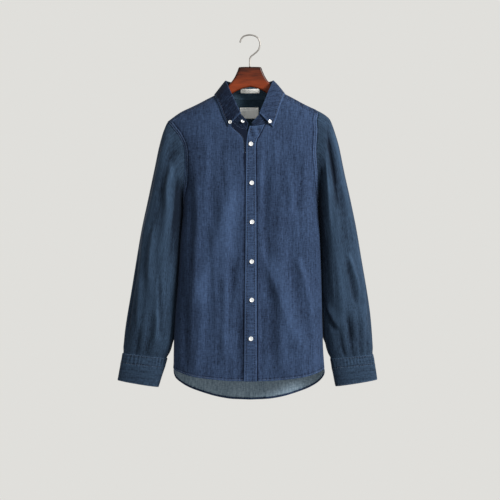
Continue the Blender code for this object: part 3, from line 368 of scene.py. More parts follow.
# %% Creases of the body
BODY_CREASES = [
    # face, x top, z top, x foot, z foot, half width, rise, lean
    (FRONT, -138, -330, -136, -700, 9, 1.5, 0.3), (FRONT, -112, -250, -100, -520, 9, 1.5, -0.3),
    (FRONT, -96, -440, -84, -800, 10, 1.6, 0.3), (FRONT, -72, -250, -66, -470, 9, -1.8, 0.2),
    (FRONT, -56, -380, -64, -880, 12, 2.0, -0.3), (FRONT, -30, -560, -52, -860, 9, 2.1, 0.4),
    (FRONT, -82, -600, -74, -860, 11, -2.2, 0.2), (FRONT, -22, -700, -30, -900, 13, -2.6, 0.3),
    (FRONT, -155, -640, -162, -880, 10, -1.8, 0.0), (FRONT, -120, -640, -134, -880, 9, 1.6, 0.2),
    (FRONT, -165, -250, -168, -420, 10, -2.0, 0.3), (FRONT, -38, -360, -152, -740, 23, 3.8, 0.3),
    (FRONT, -58, -600, -70, -850, 13, 1.8, 0.2), (FRONT, -150, -420, -146, -640, 11, -1.8, 0.1),
    (FRONT, 26, -268, 31, -470, 6, 1.5, -0.2), (FRONT, 40, -300, 42, -610, 8, -2.2, 0.2),
    (FRONT, 30, -540, 126, -830, 21, 3.6, 0.4), (FRONT, 96, -560, 150, -800, 12, -2.0, -0.3),
    (FRONT, 94, -330, 120, -560, 10, 1.8, -0.2), (FRONT, 118, -560, 158, -740, 10, 3.0, 0.3),
    (FRONT, 126, -330, 118, -470, 8, -2.0, 0.2), (FRONT, 30, -660, 30, -860, 6, -1.6, 0.0),
    (FRONT, 84, -690, 76, -880, 12, 1.8, 0.2), (FRONT, 62, -250, 68, -420, 10, 1.6, 0.0),
    (FRONT, 150, -700, 166, -860, 9, 1.8, 0.2), (FRONT, -40, -560, -58, -790, 16, -2.4, 0.2),
    (FRONT, 46, -620, 62, -860, 15, -2.4, 0.2), (FRONT, 84, -280, 60, -560, 18, -1.8, 0.3),
    (BACK, -150, -300, -160, -900, 14, -2.4, 0.2), (BACK, -112, -290, -122, -760, 12, 2.2, -0.3),
    (BACK, -70, -330, -76, -900, 13, -2.2, 0.3), (BACK, -30, -290, -26, -620, 12, 2.0, 0.2),
    (BACK, 14, -420, 20, -920, 13, 2.4, -0.2), (BACK, 60, -300, 68, -740, 12, -2.2, 0.3),
    (BACK, 104, -330, 112, -900, 14, 2.4, 0.2), (BACK, 150, -300, 160, -860, 14, -2.2, 0.0),
]
WANDER = 3.0            # how far a crease's middle leaves its line, in millimetres
CREASE_SCALE = 1.5
CREASE_ENDS = 0.22      # share of its length over which a crease rises and dies out
SLACK_WAVES = [
    # face, waves per metre across, waves per metre down, phase, rise
    (FRONT, 9.0, 0.9, 0.3, 0.50), (FRONT, 15.5, -1.6, 1.9, 0.38), (FRONT, 26.0, 2.3, 4.1, 0.22),
    (FRONT, 41.0, -3.9, 2.6, 0.12), (BACK, 8.0, 1.0, 2.0, 0.50), (BACK, 14.0, -1.3, 0.6, 0.40),
    (BACK, 24.0, 2.7, 3.3, 0.24), (BACK, 38.0, 3.4, 5.0, 0.12),
]


def body_relief(way, z, face):
    """How far the creases lift the cloth: the sum of the table's bells and of low slack waves."""
    way, z, face = np.broadcast_arrays(np.asarray(way, float), np.asarray(z, float), face)
    total = np.zeros(way.shape)
    for crease_face, x0, z0, x1, z1, half, rise, lean in BODY_CREASES:
        share = (z0 - z) / (z0 - z1)
        middle = x0 + (x1 - x0) * share + WANDER * np.sin(share * 5 + x0)
        swell = ease(share / CREASE_ENDS) * ease((1 - share) / CREASE_ENDS)
        fold = CREASE_SCALE * rise * swell * bell(way - middle, half, lean)
        total += np.where(face == crease_face, fold, 0)
    below = ease((-200 - z) / 120)
    for wave_face, across, down, phase, rise in SLACK_WAVES:
        turn = 2 * math.pi * MM * (across * way + down * z) + phase + 0.8 * np.sin(z * 0.011 + phase)
        total += np.where(face == wave_face, rise * below * np.sin(turn), 0)
    return total


def body_cloth(way, z, face, lift=0.0):
    """Smooth face, plus creases and a lift, along the normal."""
    rise = body_relief(way, z, face) + lift
    return body_point(way, z, face) + body_normal(way, z, face) * rise[..., None]


# %% [markdown]
# ## Seams
#
# Every edge of a shirt's panel is folded and stitched, so it stands a little proud of the
# cloth beside it, and the thread gathers it into small puckers. For each grid of points the
# distance to a seam's line and the place along it are measured once. From those two numbers
# come the fold's height, the shallow grooves under the stitches and the puckers.

# %% Distances to a seam
SEAM_STEP = 1.0


def resample(line, step=SEAM_STEP):
    """Points at equal steps along a broken line, and their lengths from its start."""
    length = lengths(line)
    at = np.linspace(0, length[-1], max(int(length[-1] / step), 2))
    return sample(line, length, at), at


def shares_of(line, shares, step=SEAM_STEP):
    """Points at shares of the length of a broken line."""
    even, at = resample(np.asarray(line, float), step)
    return sample(even, at, shares * at[-1])


def grid_lengths(grid):
    """Lengths down the columns and along the rows of a grid, in millimetres."""
    down = np.zeros(grid.shape[:2])
    down[1:] = np.cumsum(np.linalg.norm(np.diff(grid, axis=0), axis=-1), axis=0)
    along = np.zeros(grid.shape[:2])
    along[:, 1:] = np.cumsum(np.linalg.norm(np.diff(grid, axis=1), axis=-1), axis=1)
    return down, along


def seam_distance(points, line):
    """Distance of each point to a line, and how far along the line its nearest point is."""
    line, at = resample(np.asarray(line, float))
    flat = points.reshape(-1, points.shape[-1])
    nearest = np.empty(len(flat), int)
    distance = np.empty(len(flat))
    for start in range(0, len(flat), 4000):
        block = flat[start:start + 4000]
        squares = ((block[:, None] - line[None]) ** 2).sum(axis=-1)
        nearest[start:start + 4000] = squares.argmin(axis=1)
        distance[start:start + 4000] = np.sqrt(squares.min(axis=1))
    return distance.reshape(points.shape[:-1]), at[nearest].reshape(points.shape[:-1])


def fold_over(distance, width, rise, soft=1.4):
    """A folded edge: full height up to its width, then down to nought over a soft step."""
    return rise * (1 - ease((distance - width) / soft + 0.5))


def edge_drop(distance, depth=0.55, reach=1.5):
    """How a folded edge rounds off: a quarter of a parabola over its last millimetres."""
    return -depth * np.clip(1 - distance / reach, 0, 1) ** 2


def groove(distance, middle, depth, half=0.8):
    """The thin valley that a row of stitches pulls into the cloth."""
    return -depth * bell(distance - middle, half)


def puckers(distance, along, depth, reach=5.0, pitch=7.5, seed=0.0):
    """Small gathers: a wave along the seam, of uneven pitch, that dies out away from it."""
    turn = 2 * math.pi * along / pitch + 2.1 * np.sin(along * 0.043 + seed) + seed
    uneven = 0.6 + 0.4 * np.sin(along * 0.09 + 2 * seed)
    return depth * uneven * np.sin(turn) * bell(distance, reach)


# %% [markdown]
# ## Turning grids into closed cloth
#
# A piece of cloth is two grids of points, its outer and its inner face, joined round the
# rim, so that it is a closed body that a printer or a physics engine can use as well.
# The vertex order is turned about when the volume of the body comes out negative. Each
# point also carries its place in the weave, as a UV map in metres, and a wear
# value: the wear on rubbed edges, together with painted light and shade.

# %% Mesh builder
CLOTH_THICK = 0.9


def quads(rows, columns, ring):
    """Corner numbers of the squares of a grid, as an array of four columns."""
    r, c = np.meshgrid(np.arange(rows - 1), np.arange(columns if ring else columns - 1), indexing="ij")
    d = (c + 1) % columns
    corners = [r * columns + c, r * columns + d, (r + 1) * columns + d, (r + 1) * columns + c]
    return np.stack(corners, axis=-1).reshape(-1, 4)


def rim_quads(rows, columns, ring):
    """Squares between the rims of two stacked grids of the same size."""
    c = np.arange(columns if ring else columns - 1)
    d = (c + 1) % columns
    pairs = [(c, d), ((rows - 1) * columns + d, (rows - 1) * columns + c)]
    if not ring:
        r = np.arange(rows - 1)
        pairs += [((r + 1) * columns, r * columns)]
        pairs += [(r * columns + columns - 1, (r + 1) * columns + columns - 1)]
    first, second = (np.concatenate([pair[i] for pair in pairs]) for i in (0, 1))
    count = rows * columns
    return np.stack([second, first, first + count, second + count], axis=-1)


def signed_volume(points, faces):
    """A sixth of the sum of triple products of the faces' corners."""
    a, b, c, d = (points[faces[:, i]] for i in range(4))
    first = np.einsum("ij,ij->i", a, np.cross(b, c))
    return (first + np.einsum("ij,ij->i", a, np.cross(c, d))).sum() / 6


def put_mesh(name, points, faces, materials, face_material=None, uv=None, values=None):
    """An object from arrays: points in millimetres, faces of four corners, uv in millimetres."""
    mesh = bpy.data.meshes.new(name)
    mesh.vertices.add(len(points))
    mesh.vertices.foreach_set("co", (points * MM).astype(np.float32).ravel())
    mesh.loops.add(faces.size)
    mesh.loops.foreach_set("vertex_index", faces.astype(np.int32).ravel())
    mesh.polygons.add(len(faces))
    mesh.polygons.foreach_set("loop_start", np.arange(0, faces.size, 4, dtype=np.int32))
    if face_material is not None:
        mesh.polygons.foreach_set("material_index", face_material.astype(np.int32))
    mesh.polygons.foreach_set("use_smooth", np.ones(len(faces), bool))
    if uv is not None:
        layer = mesh.uv_layers.new(name="grain")
        layer.data.foreach_set("uv", (uv[faces.ravel()] * MM).astype(np.float32).ravel())
    for key, column in (values or {}).items():
        mesh.attributes.new(key, "FLOAT", "POINT").data.foreach_set("value", column.astype(np.float32))
    for material in materials:
        mesh.materials.append(material)
    mesh.update(calc_edges=True)
    mesh.validate()
    made = bpy.data.objects.new(name, mesh)
    bpy.context.scene.collection.objects.link(made)
    return made


def grid_normals(grid, ring=False):
    """Normals of a grid of points, from its neighbours' differences."""
    if ring:
        across = np.roll(grid, -1, axis=1) - np.roll(grid, 1, axis=1)
    else:
        across = np.gradient(grid, axis=1)
    return unit(np.cross(across, np.gradient(grid, axis=0)))


def turned_out(normal, away):
    """Normals, turned about if on the whole they point against the directions 'away'."""
    return -normal if np.sum(normal * away) < 0 else normal


def shell(name, outer, inner, grain, materials, wear=None, inside=None, ring=False):
    """Closed cloth between two grids; 'inside' marks inner squares that show the cloth's face."""
    rows, columns = outer.shape[:2]
    face = quads(rows, columns, ring)
    count = rows * columns
    points = np.concatenate([outer.reshape(-1, 3), inner.reshape(-1, 3)])
    rim = rim_quads(rows, columns, ring)
    faces = np.concatenate([face, face[:, ::-1] + count, rim])
    if signed_volume(points, faces) < 0:
        faces = faces[:, ::-1]
    turned = np.ones(len(face)) if inside is None else np.where(inside.ravel(), 0, 1)
    slots = np.concatenate([np.zeros(len(face)), turned, np.zeros(len(rim))])
    wear = np.zeros((rows, columns)) if wear is None else wear
    grain = np.broadcast_to(grain, (rows, columns, 2)).reshape(-1, 2)
    return put_mesh(name, points, faces, materials, slots, np.concatenate([grain, grain]),
                    {"wear": np.concatenate([wear.ravel(), wear.ravel()])})


def coons(top, foot, start, end, across, down, sideways=1.0):
    """A grid between four edges: the plain blend, plus each side edge's bend, fading inwards."""
    across = across[None, :, None]
    down = down[:, None, None]
    rows = top[None] * (1 - down) + foot[None] * down
    start_bend = start[:, None] - (top[0] * (1 - down) + foot[0] * down)
    end_bend = end[:, None] - (top[-1] * (1 - down) + foot[-1] * down)
    fade = np.array([sideways, 1.0])
    return rows + start_bend * (1 - across) ** fade + end_bend * across**fade


def crowded(count, near=0.10, share=0.22):
    """Shares from 0 to 1, closer together near both ends, where the stitched folds are."""
    t = np.linspace(0, 1, count)
    return np.interp(t, [0, share, 1 - share, 1], [0, near, 1 - near, 1])


# %% [markdown]
# ## The cloth's finish
#
# Chambray has an indigo warp and a paler weft. From a step away the eye no longer sees the
# yarns, but it still sees the slubs: thick places in the warp that run as long thin streaks
# down each panel, and shorter ones across. The material mixes two blues by noise that is
# stretched along the grain, adds the fine plain weave, clouds of uneven dye, and the
# wear attribute. That attribute holds a paler tone on rubbed edges, which is wear,
# and painted light and shade: paler on the ridges of folds, darker in their troughs, in
# grooves and beside raised edges. Everything reads the UV map in metres, so that the grain
# follows each piece round its bends.

# %% Material helpers


def new_material(name):
    """A new material: a function that adds nodes to it, and one that connects its shader."""
    made = bpy.data.materials.new(name)
    made.use_nodes = True
    tree = made.node_tree
    shader = tree.nodes["Principled BSDF"]

    def add(kind, settings=None, **inputs):
        """One node: settings are its own values, inputs are numbers or the outputs of others."""
        node = tree.nodes.new("ShaderNode" + kind)
        for key, value in (settings or {}).items():
            setattr(node, key, value)
        for key, value in inputs.items():
            numbered = key[0] == "i" and key[1:].isdigit()
            socket = node.inputs[int(key[1:]) if numbered else key]
            if isinstance(value, bpy.types.NodeSocket):
                tree.links.new(value, socket)
            else:
                socket.default_value = value
        return node.outputs[0]

    def finish(colour, bump=None, **surface):
        """Connects the colour and a bump of (strength, metres, height), and sets sockets by name."""
        tree.links.new(colour, shader.inputs["Base Color"])
        if bump is not None:
            relief = add("Bump", Strength=bump[0], Distance=bump[1], Height=bump[2])
            tree.links.new(relief, shader.inputs["Normal"])
        for key, value in surface.items():
            shader.inputs[key.replace("_", " ")].default_value = value
        return made

    return add, finish


def object_place(add):
    """The place on the object, in metres."""
    return add("TexCoord").node.outputs["Object"]


def wear_and_shade_attribute(add):
    """The wear attribute: wear, with painted light and shade."""
    return add("Attribute", {"attribute_name": "wear"}).node.outputs["Fac"]


def times_plus(add, value, weight, start):
    """value times weight, plus start."""
    return add("Math", {"operation": "MULTIPLY_ADD"}, i0=value, i1=weight, i2=start)


def sine(add, value, period):
    """Sine of a place: one full wave in a period."""
    turn = add("Math", {"operation": "MULTIPLY"}, i0=value, i1=2 * math.pi / period)
    return add("Math", {"operation": "SINE"}, i0=turn)


def streaks(add, place, across, along):
    """Noise between 0 and 1 whose spots are 'across' wide and 'along' long, in metres."""
    scaled = add("Mapping", Vector=place, Scale=(1 / across, 1 / along, 1))
    flat = {"noise_dimensions": "2D"}
    return add("TexNoise", flat, Vector=scaled, Scale=1.0, Detail=3.0, Roughness=0.6)


def weighted(add, start, terms):
    """start plus the sum of weight times (value minus a half)."""
    total = start
    for value, weight in terms:
        part = times_plus(add, value, weight, -weight / 2)
        total = add("Math", {"operation": "ADD"}, i0=part, i1=total)
    return total


def blend_colours(add, factor, low, high):
    """Colour between two by a factor."""
    return add("MixRGB", {"use_clamp": True}, Fac=factor, Color1=(*low, 1), Color2=(*high, 1))


YARN = 0.00042          # one warp yarn, in metres


def weave_height(add, place):
    """A plain weave: the product of two sine waves, one along each yarn."""
    parts = add("SeparateXYZ", Vector=place).node.outputs
    waves = [sine(add, part, 2 * YARN) for part in parts[:2]]
    return add("Math", {"operation": "MULTIPLY"}, i0=waves[0], i1=waves[1])


def chambray(name, deep, pale, contrast, sheen=0.04):
    """The shirt's cloth: two blues mixed by streaks, weave, clouds, and wear with painted light and shade.
    """
    add, finish = new_material(name)
    place = add("UVMap", {"uv_map": "grain"})
    warp = streaks(add, place, 0.0042, 0.075)
    warp_fine = streaks(add, place, 0.0019, 0.0130)
    weft = streaks(add, place, 0.011, 0.0022)
    cloud = add("TexNoise", Vector=object_place(add), Scale=16.0, Detail=2.0)
    weave = weave_height(add, place)
    terms = [(warp, 0.68), (warp_fine, 1.00), (weft, 0.75), (cloud, 0.35)]
    terms = [(value, weight * contrast) for value, weight in terms]
    factor = times_plus(add, weave, 0.07, weighted(add, 0.46, terms))
    factor = times_plus(add, wear_and_shade_attribute(add), 0.5, factor)
    height = weighted(add, 0.0, [(warp, 0.5), (warp_fine, 0.5), (weft, 0.4)])
    height = times_plus(add, weave, 0.35, height)
    return finish(blend_colours(add, factor, deep, pale), (0.5, 0.0003, height), Roughness=0.88,
                  Specular_IOR_Level=0.10, Sheen_Weight=sheen, Sheen_Roughness=0.45,
                  Sheen_Tint=(0.62, 0.74, 1.0, 1))


INDIGO = chambray("indigo_chambray", (0.0014, 0.0040, 0.0125), (0.0290, 0.0520, 0.1080), 0.95)
# A darker, less blue copy of the cloth for the sleeves, cuffs and sleeve plackets: painted shade.
INDIGO_SHADE = chambray("indigo_chambray_sleeve_painted_shade", (0.0012, 0.0040, 0.0100), (0.0235, 0.0450, 0.0800), 0.95)
PALE_INSIDE = chambray("chambray_inside", (0.056, 0.098, 0.142), (0.345, 0.440, 0.530), 1.0, 0.08)
# A second copy of the cloth, paler and flatter, for the inner faces of the collar stand and the yoke:
# painted light that lifts faces lying in the neck's shade.
STAND_SHADE = chambray("stand_chambray_painted_light", (0.014, 0.030, 0.052), (0.052, 0.092, 0.132), 0.8, 0.03)
CLOTH_SET = [INDIGO, PALE_INSIDE]
YOKE_SET = [INDIGO, STAND_SHADE]
SLEEVE_SET = [INDIGO_SHADE, PALE_INSIDE]


def thread(name, colour):
    """Sewing thread: fine twisted stripes along the stitch, a soft gloss."""
    add, finish = new_material(name)
    twist = add("TexNoise", Vector=object_place(add), Scale=2600.0, Detail=1.0)
    dark = tuple(0.6 * part for part in colour)
    tone = weighted(add, 0.5, [(twist, 0.8)])
    return finish(blend_colours(add, tone, dark, colour), Roughness=0.6, Sheen_Weight=0.3)


BLUE_THREAD = thread("blue_thread", (0.055, 0.085, 0.16))
DARK_THREAD = thread("dark_thread", (0.015, 0.022, 0.045))
print("materials:", len(bpy.data.materials))

# %% [markdown]
# ## Stitches
#
# A lockstitch shows as a row of short dashes, each a loop of thread that dips into the cloth
# at both ends. One dash is three small rings of four corners; a whole seam's dashes are one
# mesh, made at once by adding every dash's frame to the same twelve corners.

# %% Stitch builder
STITCH = 2.7            # from one stitch to the next, in millimetres
STITCH_LONG = 2.0
STITCH_HALF = 0.24
FINE_STEP = 0.5         # spacing of the points that a row of stitches or the yoke's edge follows
LOOK = 0.6              # how far before and behind a stitch its direction is taken
DASH_RINGS = [(-0.5, 0.35, -0.5), (0.0, 1.0, 0.35), (0.5, 0.35, -0.5)]  # place, girth and height
DASH_CORNERS = np.array([(0, 1), (1, 0), (0, -1), (-1, 0)], float)


def stitches(name, lines, material=BLUE_THREAD, pitch=STITCH, half=STITCH_HALF):
    """Rows of stitches along lines of points with normals, lying half sunk in the cloth."""
    caps = np.array([(3, 2, 1, 0), (8, 9, 10, 11)])
    dash_faces = np.concatenate([quads(3, 4, True)[:, ::-1], caps[:, ::-1]])
    points = []
    for line, normal in lines:
        both, _ = resample(np.concatenate([line, normal], axis=1), FINE_STEP)
        length = lengths(both[:, :3])
        centres = np.arange(pitch / 2, length[-1], pitch)
        spot, ahead, behind = (sample(both, length, centres + step)[:, None] for step in (0, LOOK, -LOOK))
        forward, up = unit(ahead[..., :3] - behind[..., :3]), unit(spot[..., 3:])
        side = unit(np.cross(forward, up))
        dash = [spot[..., :3] + forward * share * STITCH_LONG
                + side * DASH_CORNERS[None, :, :1] * half * girth
                + up * (DASH_CORNERS[None, :, 1:] * half * girth + sink * half)
                for share, girth, sink in DASH_RINGS]
        points.append(np.stack(dash, axis=1).reshape(-1, 3))
    points = np.concatenate(points)
    faces = (dash_faces[None] + 12 * np.arange(len(points) // 12)[:, None, None]).reshape(-1, 4)
    if signed_volume(points, faces) < 0:
        faces = faces[:, ::-1]
    made = put_mesh(name, points, faces, [material])
    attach(made, BODY_NAME)


def body_line(way, z, face, lift=0.0):
    """Points and normals of a line of stitches on the body's cloth."""
    way, z, lift = np.broadcast_arrays(*(np.asarray(part, float) for part in (way, z, lift)))
    return body_cloth(way, z, face, lift), body_normal(way, z, face)


def finish_piece(piece, node):
    """The frame's calls for a piece of cloth: what it moves with, replaces and was cut to."""
    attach(piece, BODY_NAME)
    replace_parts(piece, node)


# %% [markdown]
# ## Fronts
#
# Each front is cut from neck to hem with one curved armhole. Four edges are enough to fill
# it with points: the top (neck curve and yoke seam), the hem, the buttoning edge and the
# armhole with the side seam. The armhole edge is folded over the sleeve and stitched twice,
# which makes the bright double ridge seen at each shoulder. The hem is turned up twice, so
# that its inside shows the cloth's face.

# %% Front panels
ARM_FOLD = 8.0          # width of the felled armhole seam
ARM_RISE = 0.75
HEM_WIDTH = 5.0
HEM_RISE = 0.5
ARM_STITCHES = (1.8, ARM_FOLD - 1.2)    # both rows of the armhole, from its edge
HEM_STITCH = HEM_WIDTH - 1.2
HEM_COLUMN = {FRONT: 1, BACK: 2}        # the hem table's column for each face
FRONT_COLUMNS, FRONT_ROWS = 84, 226
RIDGE_PAINTED_LIGHT = 0.075      # painted light and shade: how much paler a millimetre of crease ridge is, and darker a millimetre of trough
# the button band's sewn edge on the right front, seen in the neck's opening
BAND_LINE = [(-47, -239), (-40, -246), (-33, -251.5), (-24, -260), (-18.5, -268), (-16, -284),
             (-15.5, -305)]


def hem_line(face, start, end, above):
    """Way and height along the hem, in shares of the way from the centre to each side."""
    share = np.linspace(start, end, 260)
    z = through(HEM, np.abs(share), HEM_COLUMN[face]) + above
    side = through(HEM, 1.0, HEM_COLUMN[face])
    return share * np.where(share < 0, side_way(side, -1), side_way(side, 1)), z


def side_edge(sign, face, down, first=None):
    """A panel's edge down its armhole and side, and the armhole's points in space."""
    arm = np.stack(armhole_way(sign, face, np.linspace(yoke_share(sign, face), 1, 120)), axis=-1)
    if first is not None:
        arm[0] = first
    side_z = np.linspace(UNDERARM_Z, through(HEM, 1.0, HEM_COLUMN[face]), 120)[1:]
    side = np.stack([sign * side_way(side_z, sign), side_z], axis=-1)
    return shares_of(np.concatenate([arm, side]), down), body_point(arm[:, 0], arm[:, 1], face)


def panel_relief(grid, arm, half, face):
    """Folds of a panel's armhole and hem, the wear and painted shade there, and the distance to the hem.
    """
    way, z = grid[..., 0], grid[..., 1]
    to_arm, along_arm = seam_distance(body_point(way, z, face), arm)
    rise = fold_over(to_arm, ARM_FOLD, ARM_RISE)
    rise += groove(to_arm, ARM_STITCHES[0], 0.30) + groove(to_arm, ARM_STITCHES[1], 0.35)
    rise += puckers(to_arm - ARM_FOLD, along_arm, 0.38, 5.0, 8.0, seed=way[0, -1] * 0.01)
    wear = 1.3 * bell(to_arm - 1.0, 1.7) + 0.9 * bell(to_arm - ARM_FOLD + 1.0, 1.5)
    # Painted shade: a dark line just beyond the armhole's fold and another along the middle of the felled
    # seam.
    wear -= 0.8 * bell(to_arm - ARM_FOLD - 2.2, 1.6) + 0.5 * bell(to_arm - 4.2, 1.2)
    hem_z = through(HEM, np.clip(np.abs(way) / half, 0, 1), HEM_COLUMN[face])
    to_hem = np.clip(z - hem_z, 0, None)
    gather = puckers(to_hem - HEM_WIDTH, way, 1.0, 5.0, 9.0, seed=1.3)
    rise += fold_over(to_hem, HEM_WIDTH, HEM_RISE) + groove(to_hem, HEM_STITCH, 0.25) + 0.50 * gather
    # Wear on the hem's edge, painted light and shade on the hem's puckers, and painted shade beside the
    # hem's fold.
    wear += 0.8 * bell(to_hem - 0.6, 1.3) + 0.45 * gather - 0.45 * bell(to_hem - HEM_WIDTH - 1.5, 1.5)
    return rise, wear, to_hem


def hemmed_panel(name, grid, face, rise, wear, to_hem):
    """A body panel as closed cloth, thicker over its hem, which shows the cloth's face inside."""
    way, z = grid[..., 0], grid[..., 1]
    outer = body_cloth(way, z, face, rise)
    thick = CLOTH_THICK + 0.4 * fold_over(to_hem, HEM_WIDTH, 1.0)
    inner = outer - body_normal(way, z, face) * thick[..., None]
    # Painted light and shade on the creases: ridges paler, troughs darker.
    wear = wear + RIDGE_PAINTED_LIGHT * body_relief(way, z, face)
    middle = (to_hem[1:, 1:] + to_hem[:-1, :-1]) / 2
    return shell(name, outer, inner, grid, CLOTH_SET, wear, inside=middle < HEM_WIDTH)


def front_panel(sign, edge):
    """Grid of a front between its neck and yoke seam, hem, buttoning edge and side."""
    across, down = crowded(FRONT_COLUMNS), crowded(FRONT_ROWS, 0.05, 0.10)
    neck = np.linspace(neck_at_x(edge[0][1], sign), neck_at_drop(sign, YOKE_DROP), 80)
    neck_x, neck_z, _ = neck_seam(sign, neck)
    corner_way, corner_z = armhole_way(sign, FRONT, [yoke_share(sign, FRONT)])
    corner_x = float(body_point(corner_way, corner_z, FRONT)[0, 0])
    seam_x = np.linspace(neck_x[-1], corner_x, 60)[1:]
    x, z = np.append(neck_x, seam_x), np.append(neck_z, ridge_z(seam_x, sign) - YOKE_DROP)
    top = shares_of(np.stack([way_of_x(x, z), z], axis=-1), across)
    end, arm = side_edge(sign, FRONT, down, top[-1])
    edge_z = top[0, 1] + (through(HEM, 0.0, 1) - top[0, 1]) * down**1.05
    start = np.stack([through(edge, edge_z), edge_z], axis=-1)
    start[0] = top[0]
    foot_way = start[-1, 0] + (end[-1, 0] - start[-1, 0]) * across
    half = side_way(through(HEM, 1.0, 1), sign)
    foot = np.stack([foot_way, through(HEM, np.abs(foot_way) / half, 1)], axis=-1)
    foot[0], foot[-1] = start[-1], end[-1]
    return coons(top, foot, start, end, across, down, sideways=2.5), arm, half


def placket_step(way):
    """How far the left front rises to the placket: 1.2 mm, eased out over 45 mm."""
    return 1.2 * (1 - ease((np.abs(way) - 16) / 45))


def make_front(name, sign, edge):
    """A front as closed cloth with its folds."""
    grid, arm, half = front_panel(sign, edge)
    way, z = grid[..., 0], grid[..., 1]
    rise, wear, to_hem = panel_relief(grid, arm, half, FRONT)
    if sign > 0:
        rise = rise + placket_step(way)
    else:
        band = np.array(BAND_LINE, float)
        to_band, along_band = seam_distance(grid, band)
        inside_band = ease((way - np.interp(-z, -band[:, 1], band[:, 0])) / 1.6 + 0.5)
        rise = rise + 0.7 * inside_band + groove(to_band, 1.5, 0.3)
        rise = rise + puckers(to_band, along_band, 0.3, 4.0)
        # Painted highlight along the folded edge of the button band, where it turns back into the neck's
        # opening.
        wear = wear + 1.2 * bell(to_band - 0.8, 1.3) * (1 - inside_band)
        # Painted shade on the band inside the neck's opening, above the first button.
        wear = wear - 1.5 * inside_band * ease((z + 345) / 50)
    # Painted shadow of the placket: a dark strip on the fronts beside each of its edges, wider at the top
    # of the free edge.
    for table, side in ((PLACKET_FREE, -1), (PLACKET_SEWN, 1)):
        beside = side * (way - through(table, z))
        wide = 2.1 + (3.2 * ease((z + 375) / 90) if side < 0 else 0)
        wear = wear - 1.5 * bell(beside - 0.8, wide)
    return hemmed_panel(name, grid, FRONT, rise, wear, to_hem)


front_right = make_front("cloth_front_right", -1, BUTTON_EDGE)
front_left = make_front("cloth_front_left", 1, PLACKET_SEWN)
finish_piece(front_right, "front_right")
finish_piece(front_left, "front_left")
print("fronts:", len(front_right.data.polygons), len(front_left.data.polygons))

# %% [markdown]
# ## Back and yoke
#
# The yoke is one piece that lies over both shoulders. Its edges are drawn first, as drops
# below the shoulder ridge: along the front seam, up and over the ridge by the armhole, down
# to the back seam and in to the centre. Columns then run from the neck out to that edge.
# Its seams lap 2 mm over the fronts and the back and are stitched along the fold.

# %% Back panel
BACK_COLUMNS, BACK_ROWS = 116, 190


def make_back():
    """The back between the yoke's seam, both armholes and sides and the long hem."""
    across, down = crowded(BACK_COLUMNS, 0.06, 0.12), crowded(BACK_ROWS, 0.06, 0.12)
    (start, arm_right), (end, arm_left) = (side_edge(sign, BACK, down) for sign in (-1, 1))
    top_way, foot_way = (start[i, 0] + (end[i, 0] - start[i, 0]) * across for i in (0, -1))
    top = np.stack([top_way, np.full(len(across), start[0, 1])], axis=-1)
    half = np.where(foot_way < 0, -start[-1, 0], end[-1, 0])
    foot = np.stack([foot_way, through(HEM, np.abs(foot_way) / half, 2)], axis=-1)
    grid = coons(top, foot, start, end, across, down)
    half = np.where(grid[..., 0] < 0, -start[-1, 0], end[-1, 0])
    rise, wear, to_hem = panel_relief(grid, np.concatenate([arm_right, arm_left]), half, BACK)
    return hemmed_panel("cloth_back", grid, BACK, rise, wear, to_hem)


back = make_back()
finish_piece(back, "back")

# %% Yoke
YOKE_LAP = 2.0
YOKE_LIFT = 0.9
YOKE_SHADE = -0.32      # the yoke is a little darker than the fronts
YOKE_ROWS = 30
YOKE_FRONT_COLUMNS, YOKE_BACK_COLUMNS = 12, 62


def yoke_half(sign):
    """Columns (distance across, drop) of half the yoke, from its front seam to the centre back."""
    edges = []
    for face, step in ((FRONT, -1), (BACK, 1)):
        shares = np.linspace(0, yoke_share(sign, face), 60)[::step]
        way, z = armhole_way(sign, face, shares)
        x = np.abs(body_point(way, z, face)[:, 0])
        edges.append(np.stack([x, face * (ridge_z(x, sign) - z)], axis=-1))
    front, behind = edges
    front[0, 1] = -YOKE_DROP - YOKE_LAP
    front[-1, 1] = behind[0, 1] = 0
    seam_x = np.linspace(behind[-1, 0], 0, 60)
    seam = np.stack([seam_x, ridge_z(seam_x, sign) - YOKE_BACK_Z + YOKE_LAP], axis=-1)
    parts = ((front, YOKE_FRONT_COLUMNS), (np.concatenate([behind, seam]), YOKE_BACK_COLUMNS))
    ahead, rest = (shares_of(line, np.linspace(0, 1, count), FINE_STEP) for line, count in parts)
    outer = np.concatenate([ahead, rest[1:]])
    neck = np.linspace(neck_at_drop(sign, YOKE_DROP + YOKE_LAP), 1, YOKE_FRONT_COLUMNS)
    neck = np.concatenate([neck, np.linspace(1, 0, YOKE_BACK_COLUMNS)[1:]])
    x, z, face = neck_seam(sign, neck)
    inner = np.stack([np.abs(x), face * np.maximum(ridge_z(x, sign) - z, 0)], axis=-1)
    share = crowded(YOKE_ROWS)[:, None, None]
    return (inner[None] * (1 - share) + outer[None] * share) * (sign, 1)


def on_yoke(columns, lift=0.0):
    """Points and normals of the yoke's cloth from distances across and drops."""
    x, drop = columns[..., 0], columns[..., 1]
    z = np.where(x < 0, ridge_z(x, -1), ridge_z(x, 1)) - np.abs(drop)
    face = np.where(drop > 0, BACK, FRONT)
    way = way_of_x(x, z)
    return body_cloth(way, z, face, np.broadcast_to(lift, x.shape)), body_normal(way, z, face)


